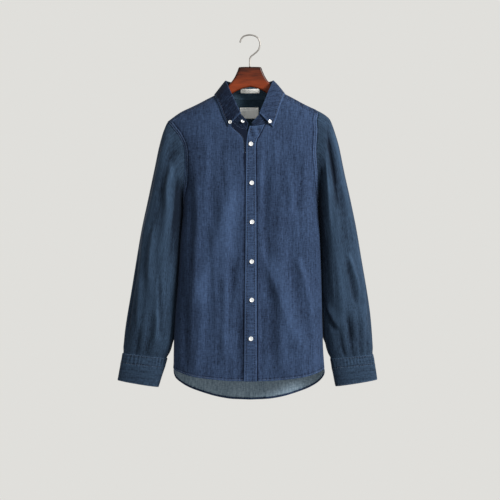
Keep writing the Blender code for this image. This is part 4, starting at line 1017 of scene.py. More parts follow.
def make_yoke():
    """The yoke with its folded seams, and the columns of its grid."""
    columns = np.concatenate([yoke_half(-1), yoke_half(1)[:, -2::-1]], axis=1)
    flat, _ = on_yoke(columns)
    rise, wear = np.full(columns.shape[:2], YOKE_LIFT), np.full(columns.shape[:2], YOKE_SHADE)
    for line, seed in ((flat[-1], 0.4), (flat[:, 0], 1.1), (flat[:, -1], 2.0)):
        away, along = seam_distance(flat, line)
        rise += groove(away, 1.8, 0.35) + puckers(away - 2.5, along, 0.30, 4.0, 8.0, seed)
        wear += 0.6 * bell(away - 0.5, 1.2)
    outer, normal = on_yoke(columns, rise)
    along, _ = grid_lengths(flat)
    grain = np.stack([along, np.broadcast_to(columns[-1:, :, 0], along.shape)], axis=-1)
    return shell("cloth_yoke", outer, outer - normal * CLOTH_THICK, grain, YOKE_SET, wear), columns


yoke, YOKE_COLUMNS = make_yoke()
finish_piece(yoke, "yoke")
print("back and yoke:", len(back.data.polygons), len(yoke.data.polygons))

# %% [markdown]
# ## Placket
#
# The strip that carries the buttonholes is cloth folded three times, so it is thicker than
# the rest and its edges are round. Two rows of stitches hold it, 5 mm inside each edge, and
# between them the cloth puckers. It flares at the top where the neck has been left open.

# %% Placket
PLACKET_THICK = 1.7
PLACKET_STITCH = 5.0
PLACKET_COLUMNS, PLACKET_ROWS = 30, 330


def make_placket():
    """The placket between its free and its sewn edge, on top of both fronts."""
    across = np.linspace(0, 1, PLACKET_COLUMNS)
    top_x = PLACKET_FREE[0][1] + (PLACKET_SEWN[0][1] - PLACKET_FREE[0][1]) * across
    top = np.stack([top_x, through(NECK_FRONT, np.abs(top_x), 2)], axis=-1)
    down = np.linspace(0, 1, PLACKET_ROWS)
    edges = []
    for table, corner in ((PLACKET_FREE, top[0]), (PLACKET_SEWN, top[-1])):
        z = corner[1] + (through(HEM, 0.0, 1) - 0.6 - corner[1]) * down
        edges.append(np.stack([through(table, z), z], axis=-1))
        edges[-1][0] = corner
    foot = edges[0][-1] * (1 - across[:, None]) + edges[1][-1] * across[:, None]
    grid = coons(top, foot, edges[0], edges[1], across, down)
    way, z = grid[..., 0], grid[..., 1]
    width = np.linalg.norm(grid[:, -1] - grid[:, 0], axis=-1)[:, None]
    from_free, from_sewn = across[None] * width, (1 - across[None]) * width
    from_top, _ = seam_distance(grid, top)
    nearest = np.minimum(np.minimum(from_free, from_sewn), from_top)
    rounded = edge_drop(nearest, 0.9, 1.6)
    rise = PLACKET_LIFT + rounded
    rise = rise + groove(from_free, PLACKET_STITCH, 0.45) + groove(from_sewn, PLACKET_STITCH, 0.45)
    for away, seed in ((from_free - PLACKET_STITCH, 0.3), (from_sewn - PLACKET_STITCH, 1.7)):
        rise = rise + puckers(away, -z, 0.46, 4.5, 7.0, seed)
    for _, button_z in PLACKET_BUTTONS:
        rise = rise + 0.35 * bell(z - button_z, 9) * np.cos((way - 4) / 5)
    neck_gather = bell(z + 256, 14) * ease(from_top / 6)
    neck_wave = neck_gather * np.sin(way / 3.4 + z / 9)
    rise = rise + neck_wave
    beside = np.minimum(from_free, from_sewn)
    free_edge = np.minimum(from_free, from_top)
    # The whole placket a little paler, wear on its free edge, and painted light and shade on the gathers
    # at the neck.
    wear = 0.16 + 0.55 * neck_wave + 1.3 * bell(free_edge - 0.8, 1.3)
    wear = wear + 0.5 * bell(from_sewn - 0.8, 1.3)
    # Painted highlight beside each row of stitches and painted shade in its groove.
    wear = wear + 0.6 * bell(beside - PLACKET_STITCH + 1.6, 1.2)
    wear = wear - 0.85 * bell(beside - PLACKET_STITCH, 1.1)
    # Painted puckers: the light and shade of small gathers, painted between the rows.
    wear = wear + puckers(beside - 6.5, -z, 0.60, 3.6, 6.0, 0.9)
    wear = wear + puckers(beside - 12.0, -z, 0.35, 4.5, 9.0, 2.3)
    outer = body_cloth(way, z, FRONT, rise)
    inner = outer - body_normal(way, z, FRONT) * (PLACKET_THICK + rounded)[..., None]
    return shell("cloth_placket", outer, inner, grid, CLOTH_SET, wear)


placket = make_placket()
finish_piece(placket, "placket")
print("placket:", len(placket.data.polygons))

# %% [markdown]
# ## Sleeves
#
# A sleeve starts as the armhole's curve and turns, within a few centimetres, into an oval
# tube that hangs beside the body. It is a ring of cloth with two parameters: t, the ring's
# number down the arm, and the turn round it. Its first rows lie under the body's folded
# armhole seam and its last ones inside the cuff, so no edge is left open. The long folds
# that hang from the shoulder, the slanting creases at the elbow and the short pleats above
# the cuff are three tables that act on the same tube.

# %% Sleeve surface
SLEEVE_CREASES = {
    # degrees and ring at the start, degrees and ring at the end, half width in degrees, rise
    -1: [(90, 4, 85, 7.5, 12, 3.2), (118, 3, 125, 9, 13, -3.6), (66, 8, 74, 10.8, 9, 2.6),
         (99, 9.4, 118, 12.8, 6, -2.6), (100, 10.8, 108, 13.3, 7, 2.4), (30, 5, 24, 9, 9, -2.0),
         (48, 9.5, 60, 13, 7, 2.4), (20, 9, 26, 13, 8, -2.2),
         (215, 3, 232, 8, 12, -3.4), (255, 4, 246, 9, 12, 3.2), (236, 8, 262, 12.5, 9, -2.8),
         (290, 5, 284, 11, 12, 2.8), (330, 3, 322, 10, 12, -2.4)],
    1: [(45, 2, 81, 8, 9, -4.2), (25, 3, 45, 9, 10, 2.6), (140, 4, 135, 8, 12, 2.6),
        (120, 1.6, 125, 3.5, 8, -2.0), (71, 9, 49, 11.2, 6, 3.0), (79, 9.2, 57, 11.5, 7, -2.8),
        (160, 10, 108, 12, 8, 2.4), (170, 9.5, 122, 12.2, 8, -2.4), (92, 3, 104, 8, 10, 2.2),
        (30, 10, 40, 13.2, 8, 2.2), (96, 11, 84, 13.2, 7, -2.2),
        (214, 3, 228, 9, 12, 3.2), (240, 2.5, 256, 8, 12, -3.4), (262, 8, 240, 12, 9, 2.8),
        (292, 4, 300, 11, 12, -2.8), (326, 5, 330, 11, 12, 2.4)],
}
TUCK_TURN, TUCK_HALF, TUCK_SHADE = 158.0, 30.0, 1.0     # painted shade, full where the sleeve tucks behind the body
SLEEVE_FOLD_PAINTED_LIGHT = 0.10      # painted light and shade: how much paler a millimetre of a sleeve fold's ridge is
SLEEVE_WAVES = [
    # waves round, waves per ring, phase, rise
    (7, 0.55, 0.4, 0.45), (11, -0.70, 2.2, 0.38), (17, 1.10, 4.0, 0.25), (5, 1.60, 1.1, 0.40),
    (26, -1.9, 3.0, 0.12),
]
SLEEVE_SCALE = 1.95
NESTLE_TURN, NESTLE_HALF = 191.0, 21.0      # where the sleeve leans on the body, in degrees round
NESTLE_BACK = 0.45      # how much of its lean is to the back
NESTLE_OVER = 3.5       # how far it reaches behind the body's side
SLEEVE_LAP = [(-5.5, -0.50), (-2.5, -0.45), (-0.8, -0.40)]
SLEEVE_COLUMNS, SLEEVE_ROWS = 148, 168
SLEEVE_SINK = 1.9       # the sleeve's end, inside the cuff's outer face


def turn_from(degrees, middle):
    """How many degrees round from the middle, between -180 and 180."""
    return (degrees - middle + 180) % 360 - 180


def rings(table, t, turn):
    """Points of a tube whose rings are a table's rows, at ring t and angle turn."""
    steps = [(i, *row) for i, row in enumerate(table)]
    outer_x, outer_z, inner_x, inner_z, depth, y = (through(steps, t, c) for c in range(1, 7))
    x = (outer_x + inner_x) / 2 + (outer_x - inner_x) / 2 * np.cos(turn)
    z = (outer_z + inner_z) / 2 + (outer_z - inner_z) / 2 * np.cos(turn)
    return np.stack([x, y - depth * np.sin(turn), z], axis=-1)


def armhole_at(sign, turn):
    """The armhole's point and normal at an angle: 0 on the ridge, a half turn at the underarm."""
    share = np.where(turn <= math.pi, turn, 2 * math.pi - turn) / math.pi
    face = np.where(turn <= math.pi, FRONT, BACK)
    ways = [armhole_way(sign, side, np.ravel(share)) for side in (FRONT, BACK)]
    way, z = (np.where(np.ravel(face) < 0, ways[0][i], ways[1][i]) for i in (0, 1))
    point = body_cloth(way, z, np.ravel(face)).reshape(*turn.shape, 3)
    return point, body_normal(way, z, np.ravel(face)).reshape(*turn.shape, 3)


def sleeve_relief(sign, t, turn):
    """The sum of the sleeve's folds, creases, waves and cuff pleats at ring t and angle turn."""
    degrees = np.degrees(np.mod(turn, 2 * math.pi))
    rise = np.zeros(np.broadcast(t, turn).shape)
    for middle, half, first, last, depth in SLEEVE_FOLDS[sign]:
        swell = ease((t - first) / 2) * ease((last - t) / 2)
        rise = rise + depth * bell(turn_from(degrees, middle), half) * swell
    for from_deg, first, to_deg, last, half, depth in SLEEVE_CREASES[sign]:
        share = (t - first) / (last - first)
        middle = from_deg + (to_deg - from_deg) * share + 2.5 * np.sin(share * 5 + from_deg)
        swell = ease(share / 0.3) * ease((1 - share) / 0.3)
        lean = 0.3 * math.copysign(1, to_deg - from_deg)
        rise = rise + SLEEVE_SCALE * depth * swell * bell(turn_from(degrees, middle), half, lean)
    for middle, half, first, depth in CUFF_PLEATS[sign]:
        swell = ease((t - first) / 1.2) * ease(14.4 - t)
        rise = rise + depth * bell(turn_from(degrees, middle), half) * swell
    for count, per_ring, phase, depth in SLEEVE_WAVES:
        wave = np.sin(count * np.radians(degrees) + per_ring * t + phase + sign)
        rise = rise + depth * wave * ease((t - 1.5) / 4) * ease((14.2 - t) / 1.5)
    return rise


def nestle(sign, t, turn):
    """How far the sleeve's inner edge leans in behind the body's side, to let no light through."""
    steps = [(i, *row) for i, row in enumerate(SLEEVE[sign])]
    inner_x, inner_z = through(steps, t, 3), through(steps, t, 4)
    body_half = through(BODY, inner_z, 1 if sign < 0 else 2)
    apart = np.clip(np.abs(inner_x) - body_half + NESTLE_OVER, 0, 22)
    away = turn_from(np.degrees(turn), NESTLE_TURN)
    return apart * ease((t - 1.2) / 1.4) * ease((12.9 - t) / 1.2) * bell(away, NESTLE_HALF, 0)


def sleeve_point(sign, t, turn, lift=0.0):
    """The tube, pulled to the armhole over its first six rings, plus the relief and a lift."""
    t, turn = np.broadcast_arrays(np.asarray(t, float), np.asarray(turn, float))
    tube = rings(SLEEVE[sign], t, turn)
    armhole, _ = armhole_at(sign, np.mod(turn[0], 2 * math.pi))
    seam = armhole - rings(SLEEVE[sign], np.zeros(turn.shape[1]), turn[0])
    point = tube + seam[None] * (1 - ease(t / 6))[..., None]
    outward = unit(tube - rings(SLEEVE[sign], t, turn + math.pi))
    lean = nestle(sign, t, turn)[..., None] * np.array([-sign, NESTLE_BACK, 0])
    return point + lean + outward * (sleeve_relief(sign, t, turn) + lift)[..., None]


def make_sleeve(name, sign):
    """A sleeve as a closed ring of cloth, from inside the armhole seam to inside the cuff."""
    turn = np.linspace(0, 2 * math.pi, SLEEVE_COLUMNS + 1)[:-1]
    fine = np.linspace(0, LAST_RING, 400)
    sides = rings(SLEEVE[sign], fine[:, None], np.array([[0.0, math.pi]]))
    steps = np.linalg.norm(np.diff(sides, axis=0), axis=-1).mean(axis=1) + 0.25
    length = np.concatenate([[0], np.cumsum(steps)])
    t = np.interp(np.linspace(0, length[-1], SLEEVE_ROWS), length, fine)
    sink = -0.35 * (1 - ease(t / 0.5)) - (SLEEVE_SINK - 0.1) * ease((t - 13.55) / 0.45)
    sink = np.broadcast_to(sink[:, None], (len(t), len(turn)))
    grid = sleeve_point(sign, t[:, None], turn[None], sink)
    edge, normal = armhole_at(sign, turn)
    run = np.roll(edge, -1, axis=0) - np.roll(edge, 1, axis=0)
    inward = -sign * unit(np.cross(normal, run))
    lap = np.stack([edge - inward * way + normal * lift for way, lift in SLEEVE_LAP])
    below = []
    for ring, inset in ((0.0, SLEEVE_SINK), (0.35, SLEEVE_SINK + 0.2)):
        end = rings(CUFF[sign], np.full(len(turn), ring), turn)
        below.append(end + unit(end.mean(axis=0) - end) * inset)
    outer = np.concatenate([lap, grid, np.stack(below)])
    facing = turned_out(grid_normals(outer, ring=True), outer - outer.mean(axis=1, keepdims=True))
    facing[:len(lap)] = normal
    down = np.concatenate([[0], np.cumsum(np.linalg.norm(np.diff(outer, axis=0), axis=-1).mean(axis=1))])
    girth = np.linalg.norm(np.diff(outer[60], axis=0), axis=-1).sum()
    across = np.degrees(turn) / 360 * girth
    grain = np.stack(np.broadcast_arrays(across[None] + 0.0 * down[:, None], down[:, None]), axis=-1)
    relief = sleeve_relief(sign, t[:, None], turn[None])
    wear = np.zeros(outer.shape[:2])
    # Painted light and shade on the sleeve's folds, and painted shade along its top, under the armhole's
    # fold.
    wear[len(lap):len(lap) + len(t)] = SLEEVE_FOLD_PAINTED_LIGHT * relief - 0.9 * bell(t[:, None] - 0.12, 0.16)
    # Painted shade where the sleeve tucks behind the body.
    tuck = bell(np.degrees(turn)[None] - TUCK_TURN, TUCK_HALF, 0) * ease((t[:, None] - 0.8) / 1.5)
    wear[len(lap):len(lap) + len(t)] -= TUCK_SHADE * tuck * ease((10.5 - t[:, None]) / 5)
    return shell(name, outer, outer - facing * CLOTH_THICK, grain, SLEEVE_SET, wear, ring=True)


sleeve_right = make_sleeve("cloth_sleeve_right", -1)
sleeve_left = make_sleeve("cloth_sleeve_left", 1)
for piece, node in ((sleeve_right, "sleeve_right"), (sleeve_left, "sleeve_left")):
    finish_piece(piece, node)
print("sleeves:", len(sleeve_right.data.polygons), len(sleeve_left.data.polygons))

# %% [markdown]
# ## Cuffs and sleeve plackets
#
# A cuff is a straight band, cut double, bent once round the wrist so that its upper end laps
# over its under end by the width of a button. Its warp runs round the wrist, so its streaks
# lie across those of the sleeve. Two rows of stitches and their puckers cross it.

# %% Cuffs
THICK_WALL = 1.6
CUFF_LAP = 285.0            # where the cuff's under end starts, in degrees round
CUFF_OVER = 16.0            # how far the upper end passes it
CUFF_ROWS, CUFF_COLUMNS = 60, 190
CUFF_STITCHES = (2.2, 24.0)
cuff_frames = {}


def make_cuff(name, sign):
    """A lapped band of double cloth with rounded edges, stitched twice round."""
    turned = np.linspace(0, 360 + CUFF_OVER, CUFF_COLUMNS)
    rows = np.linspace(0, 3, CUFF_ROWS)
    u, v = np.meshgrid(rows, np.radians(turned + CUFF_LAP), indexing="ij")
    lap = (THICK_WALL + 0.4) * ease((turned - 338) / 16)
    base = rings(CUFF[sign], u, v)
    normal = turned_out(grid_normals(base), base - base.reshape(-1, 3).mean(axis=0))
    down, along = grid_lengths(base)
    below = down[-1:] - down
    from_end = np.minimum(along, along[:, -1:] - along)
    edge = np.minimum(np.minimum(down, below), from_end)
    rise = np.broadcast_to(lap, u.shape) + edge_drop(edge)
    # Painted light and shade of the cuff's puckers, and painted shade in the grooves of its stitches.
    painted_pucker_shade = np.zeros(u.shape)
    for place in CUFF_STITCHES:
        gather = puckers(down - place - 1, along, 1.0, 4.5, 7.5, place)
        rise = rise + groove(down, place, 0.4) + 0.62 * gather
        painted_pucker_shade = painted_pucker_shade + 0.42 * gather - 0.6 * bell(down - place, 1.2)
    between = puckers(down - sum(CUFF_STITCHES) / 2, along, 1.0, 11.0, 9.5, 0.6 + sign)
    foot_gather = puckers(below - 3, along, 1.0, 4.0, 8.0, 2.0)
    rise = rise + 0.75 * between + groove(below, 2.0, 0.35) + 0.3 * foot_gather
    painted_pucker_shade = painted_pucker_shade + 0.55 * between + 0.3 * foot_gather
    rise = rise + 0.35 * np.sin(along / 21 + 1.2 * sign) * np.sin(down / 16 + 0.6)
    # Wear on the cuff's edges and a paler line 26.5 mm down, added to the painted pucker shade.
    wear = painted_pucker_shade + 1.0 * bell(edge - 0.5, 1.3) + 0.4 * bell(down - 26.5, 1.5)
    outer = base + normal * rise[..., None]
    inner = outer - normal * (THICK_WALL + edge_drop(edge, 1.0))[..., None]
    cuff_frames[sign] = (outer, normal, down, along)
    grain = np.stack([down, along], axis=-1)
    return shell(name, outer, inner, grain, SLEEVE_SET, wear)


GAUNTLET_ROWS, GAUNTLET_COLUMNS = 60, 18
GAUNTLET_RINGS = (11.6, 13.85)      # its upper and its lower end, as rings of the sleeve
GAUNTLET_TURN = (286, 307)          # its two long edges, in degrees round
GAUNTLET_LIFT, GAUNTLET_THICK = 1.5, 1.2


def make_gauntlet(name, sign):
    """The strip that finishes the slit on the back of the sleeve, its edges rounded."""
    t = np.linspace(*GAUNTLET_RINGS, GAUNTLET_ROWS)[:, None]
    turn = np.radians(np.linspace(*GAUNTLET_TURN, GAUNTLET_COLUMNS))[None]
    base = sleeve_point(sign, t, turn)
    normal = unit(base - rings(SLEEVE[sign], t, turn + math.pi))
    down, along = grid_lengths(base)
    edge = np.minimum(np.minimum(down, down[-1:] - down), np.minimum(along, along[:, -1:] - along))
    rise = GAUNTLET_LIFT + edge_drop(edge) + groove(edge, 2.0, 0.3)
    rise = rise + puckers(edge, down, 0.2, 3.0, 7.0, 0.7)
    wear = 0.5 * bell(edge - 0.3, 1.0)
    outer = base + normal * rise[..., None]
    inner = outer - normal * GAUNTLET_THICK
    return shell(name, outer, inner, np.stack([along, down], axis=-1), SLEEVE_SET, wear)


for hand, sign in (("right", -1), ("left", 1)):
    cuff_piece = make_cuff(f"cloth_cuff_{hand}", sign)
    finish_piece(cuff_piece, f"cuff_{hand}")
    strip = make_gauntlet(f"cloth_sleeve_placket_{hand}", sign)
    finish_piece(strip, f"sleeve_placket_{hand}")
print("cuffs:", CUFF_ROWS, "by", CUFF_COLUMNS)

# %% [markdown]
# ## Collar
#
# The collar is two pieces: a stand that rises from the neck seam, and a leaf that is sewn to
# the stand's top edge, rolls over and falls onto the shoulders. Both are cut double with a
# stiff layer inside, so they bend smoothly and their edges are thick and round. The leaf is
# a quarter of a circle over the fold and then a quadratic curve down to its edge.

# %% Collar
COLLAR_COLUMNS = 250
STAND_ROWS = 26
LEAF_ROLL_ROWS, LEAF_FALL_ROWS = 10, 34
LEAF_SHADE = 0.30       # the leaf is a little darker than the fronts
LEAF_STITCH = 6.0
NECK_MIDDLE = (0, 0, -150)


def by_row(points, t):
    """Points at row numbers t of a smooth curve through the rows."""
    columns = [through(list(enumerate(values)), t) for values in np.array(points, float).T]
    return np.stack(columns, axis=-1)


def collar_line(tab):
    """The collar's rows from the right end, round the back, to the left end."""
    sides = []
    for sign in (-1, 1):
        rows = [(row[1] * sign, *row) for row in COLLAR[sign]]
        if tab:
            rows += [(row[0] * sign, FRONT, *row, 0, -240) for row in STAND_TAB[sign]]
        sides.append(rows)
    neck, roll, edge = [], [], []
    for place, face, _, roll_x, roll_y, roll_z, edge_x, edge_z in sides[0][::-1] + sides[1][1:]:
        neck.append(place)
        roll.append((roll_x, roll_y, roll_z))
        edge.append(body_cloth(way_of_x(edge_x, edge_z), edge_z, face, LEAF_LIFT))
    return neck, roll, edge


def neck_line(places):
    """Points and normals of the body at the neck seam; places below nought are on -X."""
    sides = []
    for sign in (-1, 1):
        x, z, face = neck_seam(sign, np.abs(places))
        way = way_of_x(x, z)
        sides.append((body_cloth(way, z, face), body_normal(way, z, face)))
    return [np.where(places[:, None] < 0, sides[0][i], sides[1][i]) for i in (0, 1)]


def stand_grid(shares):
    """The stand's outer face from the right end, round the back, to the left end."""
    places, roll, _ = collar_line(True)
    t = shares * (len(places) - 1)
    foot, at_neck = neck_line(through(list(enumerate(places)), t))
    top = by_row(roll, t)
    foot = foot + at_neck * 1.1 - unit(top - foot) * 1.6
    down = np.linspace(0, 1, STAND_ROWS)[:, None, None]
    grid = top[None] * (1 - down) + foot[None] * down
    return grid, turned_out(grid_normals(grid), grid - NECK_MIDDLE)


def make_stand():
    """The collar stand: double cloth, its foot folded over the neck seam on both sides."""
    grid, normal = stand_grid(np.linspace(0, 1, COLLAR_COLUMNS))
    down, along = grid_lengths(grid)
    from_foot = down[-1:] - down
    edge = np.minimum(from_foot, np.minimum(along, along[:, -1:] - along))
    rise = edge_drop(edge) + groove(from_foot, 2.2, 0.35) + puckers(from_foot, along, 0.25, 4.0, 8.0)
    # Wear on the stand's edges, and painted shade on its lower front ends, more than 195 mm below the
    # hook.
    wear = 0.5 * bell(edge - 0.3, 1.0) - 0.55 * ease((-grid[..., 2] - 195) / 15)
    outer = grid + normal * rise[..., None]
    thick = THICK_WALL + 0.5 * ease(1 - from_foot / 6) + edge_drop(edge, 0.8)
    for place in (9.0, 16.0, 23.0):
        thick = thick + groove(from_foot, place, 0.3)
    inner = outer - normal * thick[..., None]
    return shell("cloth_collar_stand", outer, inner, np.stack([down, along], axis=-1), YOKE_SET, wear)


def leaf_grid(columns):
    """The leaf's outer face: it stands on the stand's top edge, rolls over and falls."""
    places, roll, foot = collar_line(False)
    t = np.linspace(0, len(places) - 1, columns)
    roll, foot = by_row(roll, t), by_row(foot, t)
    up = unit(roll - neck_line(through(list(enumerate(places)), t))[0])
    out = turned_out(unit(np.cross(np.gradient(roll, axis=0), up)), roll - NECK_MIDDLE)
    radius = ROLL_RADIUS + THICK_WALL
    centre = roll + out * ROLL_RADIUS + up * 0.3
    turns = np.linspace(0, math.pi, LEAF_ROLL_ROWS)
    spokes = [up * math.sin(turn) - out * math.cos(turn) for turn in turns]
    first = roll - out * (THICK_WALL + 0.3) - up * 1.5
    grid = [first] + [centre + spoke * radius for spoke in spokes]
    start = grid[-1]
    length = np.linalg.norm(foot - start, axis=-1, keepdims=True)
    bend = start - up * length * 0.4 + out * length * 0.10
    for share in np.linspace(0, 1, LEAF_FALL_ROWS)[1:]:
        grid.append(start * (1 - share) ** 2 + bend * 2 * share * (1 - share) + foot * share**2)
    grid = np.array(grid)
    rest = turned_out(grid_normals(grid)[1 + LEAF_ROLL_ROWS:], out)
    return grid, np.concatenate([[spokes[0]], np.array(spokes), rest])


def leaf_outline(grid):
    """The part of the leaf that falls, and its free edge from the right end to the left."""
    fall = grid[1 + LEAF_ROLL_ROWS:]
    return fall, np.concatenate([fall[:, 0], fall[-1], fall[::-1, -1]])


def make_leaf():
    """The collar leaf with its rounded edge and its row of stitches 6 mm inside."""
    grid, normal = leaf_grid(COLLAR_COLUMNS)
    edge, along_edge = seam_distance(grid, leaf_outline(grid)[1])
    down, along = grid_lengths(grid)
    rise = edge_drop(edge, 0.6) + groove(edge, LEAF_STITCH, 0.4)
    rise = rise + puckers(edge - LEAF_STITCH, along_edge, 0.25, 4.5, 8.5, 0.5)
    rise = rise + 0.35 * np.sin(along / 17) * np.sin(down / 13 + 1.0)
    # Wear on the leaf's edge, a painted highlight beside its stitches and painted shade in their groove.
    wear = 1.4 * bell(edge - 0.8, 1.5) + 0.6 * bell(edge - LEAF_STITCH + 2.0, 1.4)
    wear = wear - 0.6 * bell(edge - LEAF_STITCH, 1.1)
    # Painted highlight along the roll of the collar.
    wear = wear + 0.5 * bell(down - 6.0, 2.5)
    # Darker leaf by LEAF_SHADE, and painted shade on the leaf on -X, which faces away from the key light.
    wear = wear - LEAF_SHADE - 0.60 * ease(-grid[..., 0] / 30 - 0.3)
    outer = grid + normal * rise[..., None]
    inner = outer - normal * (THICK_WALL + edge_drop(edge, 1.0))[..., None]
    return shell("cloth_collar_leaf", outer, inner, np.stack([along, down], axis=-1), CLOTH_SET, wear)


collar_stand = make_stand()
collar_leaf = make_leaf()
finish_piece(collar_stand, "collar_stand")
finish_piece(collar_leaf, "collar_leaf")
print("collar:", len(collar_stand.data.polygons), len(collar_leaf.data.polygons))

# %% [markdown]
# ## Labels
#
# Two small labels are sewn in at the back of the neck. The real ones carry print, which is
# left out: they are bare, with a woven rib and a faint painted glow, and the neck label
# has painted light, a lighter upper edge and a darker foot.

# %% Labels
LABEL_THICK = 0.8
LABEL_X, LABEL_Z = (-26, 22), (-181.5, -210)    # the neck label's ends, seen from the front
LABEL_PAINTED_GLOW = 0.09       # a faint painted glow that lifts the labels in the neck's shade


def ribbed(name, dark, light, rib):
    """Label cloth: fine ribs across it, by a sine of its height, and uneven dye."""
    add, finish = new_material(name)
    place = add("UVMap", {"uv_map": "grain"})
    wave = sine(add, add("SeparateXYZ", Vector=place).node.outputs[1], rib)
    blotch = streaks(add, place, 0.006, 0.002)
    tone = weighted(add, 0.35, [(blotch, 0.4), (wave, 0.12)])
    tone = add("Math", {"operation": "ADD"}, i0=tone, i1=wear_and_shade_attribute(add))
    return finish(blend_colours(add, tone, dark, light), (0.4, 0.0002, wave), Roughness=0.75,
                  Sheen_Weight=0.15, Emission_Color=(0.93, 0.97, 0.95, 1), Emission_Strength=LABEL_PAINTED_GLOW)


LABEL_GREY = ribbed("label_rib_grey", (0.66, 0.67, 0.64), (0.97, 0.97, 0.95), 0.0008)
LABEL_WHITE = ribbed("label_rib_white", (0.90, 0.92, 0.87), (0.98, 0.985, 0.95), 0.0006)

x, z = np.meshgrid(np.linspace(*LABEL_X, 40), np.linspace(*LABEL_Z, 26))
way = way_of_x(x, z)
sag = 0.25 * np.sin(x / 7) * np.cos(z / 9)
hidden, toward = body_cloth(way, z, BACK, -0.1), body_normal(way, z, BACK)
shown = hidden - toward * (LABEL_THICK + sag)[..., None]
# Painted light on the neck label: a lighter upper edge, and a darker foot where the neck shades it.
painted_edge_light = 0.75 * ease((z + 193.0) / 6.0) - 0.25 * ease((-z - 200.0) / 6.0)
neck_label = shell("neck_label_cloth", hidden, shown, np.stack([x, z], axis=-1), [LABEL_GREY], painted_edge_light,
                   inside=np.ones((25, 39)))
finish_piece(neck_label, "neck_label")

grid, normal = stand_grid(np.linspace(0.465, 0.535, 24))
low, high = (int(STAND_ROWS * share) for share in (0.30, 0.56))
strip = (grid - normal * (THICK_WALL + 0.05))[low:high + 1]
strip_down, strip_along = grid_lengths(strip)
size_label = shell("size_label_cloth", strip, strip - normal[low:high + 1] * LABEL_THICK,
                   np.stack([strip_along, strip_down], axis=-1), [LABEL_WHITE],
                   inside=np.ones((high - low, 23)))
finish_piece(size_label, "size_label")
print("labels:", len(neck_label.data.polygons), len(size_label.data.polygons))

# %% [markdown]
# ## Buttons
#
# A shirt button is turned from a small disc: a round rim, a shallow dish and four holes. It
# is a profile turned round an axis, with the holes pressed in as four small bells. Thread
# crosses it twice. The eleven buttons are all made by one function from a point and a normal.

# %% Buttons
BUTTON_RADIUS = 5.6
SMALL_BUTTON_RADIUS = 4.6
BUTTON_SIDES = 24
BUTTON_PROFILE = [
    # share of the radius, share of the thickness
    (0.84, 0.0), (0.97, 0.22), (1.0, 0.5), (0.96, 0.82), (0.88, 0.98), (0.80, 0.96), (0.70, 0.74),
    (0.60, 0.66), (0.48, 0.63), (0.36, 0.61), (0.25, 0.60), (0.14, 0.60), (0.05, 0.60),
]
HOLE_AT = 0.26          # share of the radius
HOLE_DEPTH = 0.9
HOLE_SPREAD = 0.45      # square of a hole's half width
BUTTON_THICK = 0.46     # share of the radius
THREAD_HIGH = 0.62      # where the thread crosses, as a share of the thickness
STAND_TIP = np.array([0.42, 0.0, 0.85])     # how the loose stand button tips on its thread


def closed_tube(grid):
    """Faces of a ring grid with an even number of columns, both ends closed with squares."""
    rows, columns = grid.shape[:2]
    i = np.arange(columns // 2 - 1)
    cap = np.stack([i, i + 1, columns - 2 - i, columns - 1 - i], axis=-1)
    faces = np.concatenate([quads(rows, columns, True), cap[:, ::-1], cap + (rows - 1) * columns])
    points = grid.reshape(-1, 3)
    if signed_volume(points, faces) < 0:
        faces = faces[:, ::-1]
    return points, faces


def plastic(name, dark, light):
    """Button plastic: soft mottling and a polished face."""
    add, finish = new_material(name)
    mottle = add("TexNoise", Vector=object_place(add), Scale=420.0, Detail=2.0)
    tone = weighted(add, 0.6, [(mottle, 0.7)])
    return finish(blend_colours(add, tone, dark, light), Roughness=0.32, Coat_Weight=0.3)


BUTTON_WHITE = plastic("button_plastic_white", (0.36, 0.37, 0.37), (0.62, 0.63, 0.63))


def sewn_frame(normal):
    """Two directions across a normal: level, and upwards."""
    normal = unit(np.asarray(normal, float).reshape(3))
    side = unit(np.cross(normal, (0.0, 0.0, 1.0)))
    return normal, side, np.cross(side, normal)


def make_button(name, point, normal, radius, lift=0.25):
    """A turned button with four holes, its back a little above the cloth."""
    normal, side, up = sewn_frame(normal)
    thick = radius * BUTTON_THICK
    turn = np.arange(BUTTON_SIDES) * 2 * math.pi / BUTTON_SIDES
    share, height = (np.array(BUTTON_PROFILE).T[i][:, None] for i in (0, 1))
    flat_x, flat_y = share * np.cos(turn) * radius, share * np.sin(turn) * radius
    press = np.zeros_like(flat_x)
    for corner_x, corner_y in ((1, 1), (1, -1), (-1, 1), (-1, -1)):
        away = (flat_x - corner_x * HOLE_AT * radius) ** 2 + (flat_y - corner_y * HOLE_AT * radius) ** 2
        press = press + np.exp(-away / HOLE_SPREAD) * (share < 0.7) * (height > 0.5)
    z = height * thick - HOLE_DEPTH * press + lift
    point = np.asarray(point).reshape(3)
    grid = point + side * flat_x[..., None] + up * flat_y[..., None] + normal * z[..., None]
    points, faces = closed_tube(grid)
    made = put_mesh(name, points, faces, [BUTTON_WHITE])
    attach(made, BODY_NAME)
    reach = HOLE_AT * radius
    top = point + normal * (thick * THREAD_HIGH + lift)
    for place in (-reach, reach):
        line = np.stack([top + side * across + up * place for across in (-reach, 0, reach)])
        thread_lines.append((line, np.broadcast_to(normal, line.shape)))
    return made


def button_grid_spot(grid, normal, x, z):
    """The grid's point that shows nearest to (x, z) from the front, and its normal."""
    away = np.hypot(grid[..., 0] - x, grid[..., 2] - z) + np.where(normal[..., 1] < 0, 0, 1e3)
    spot = np.unravel_index(np.argmin(away), away.shape)
    return grid[spot], normal[spot]


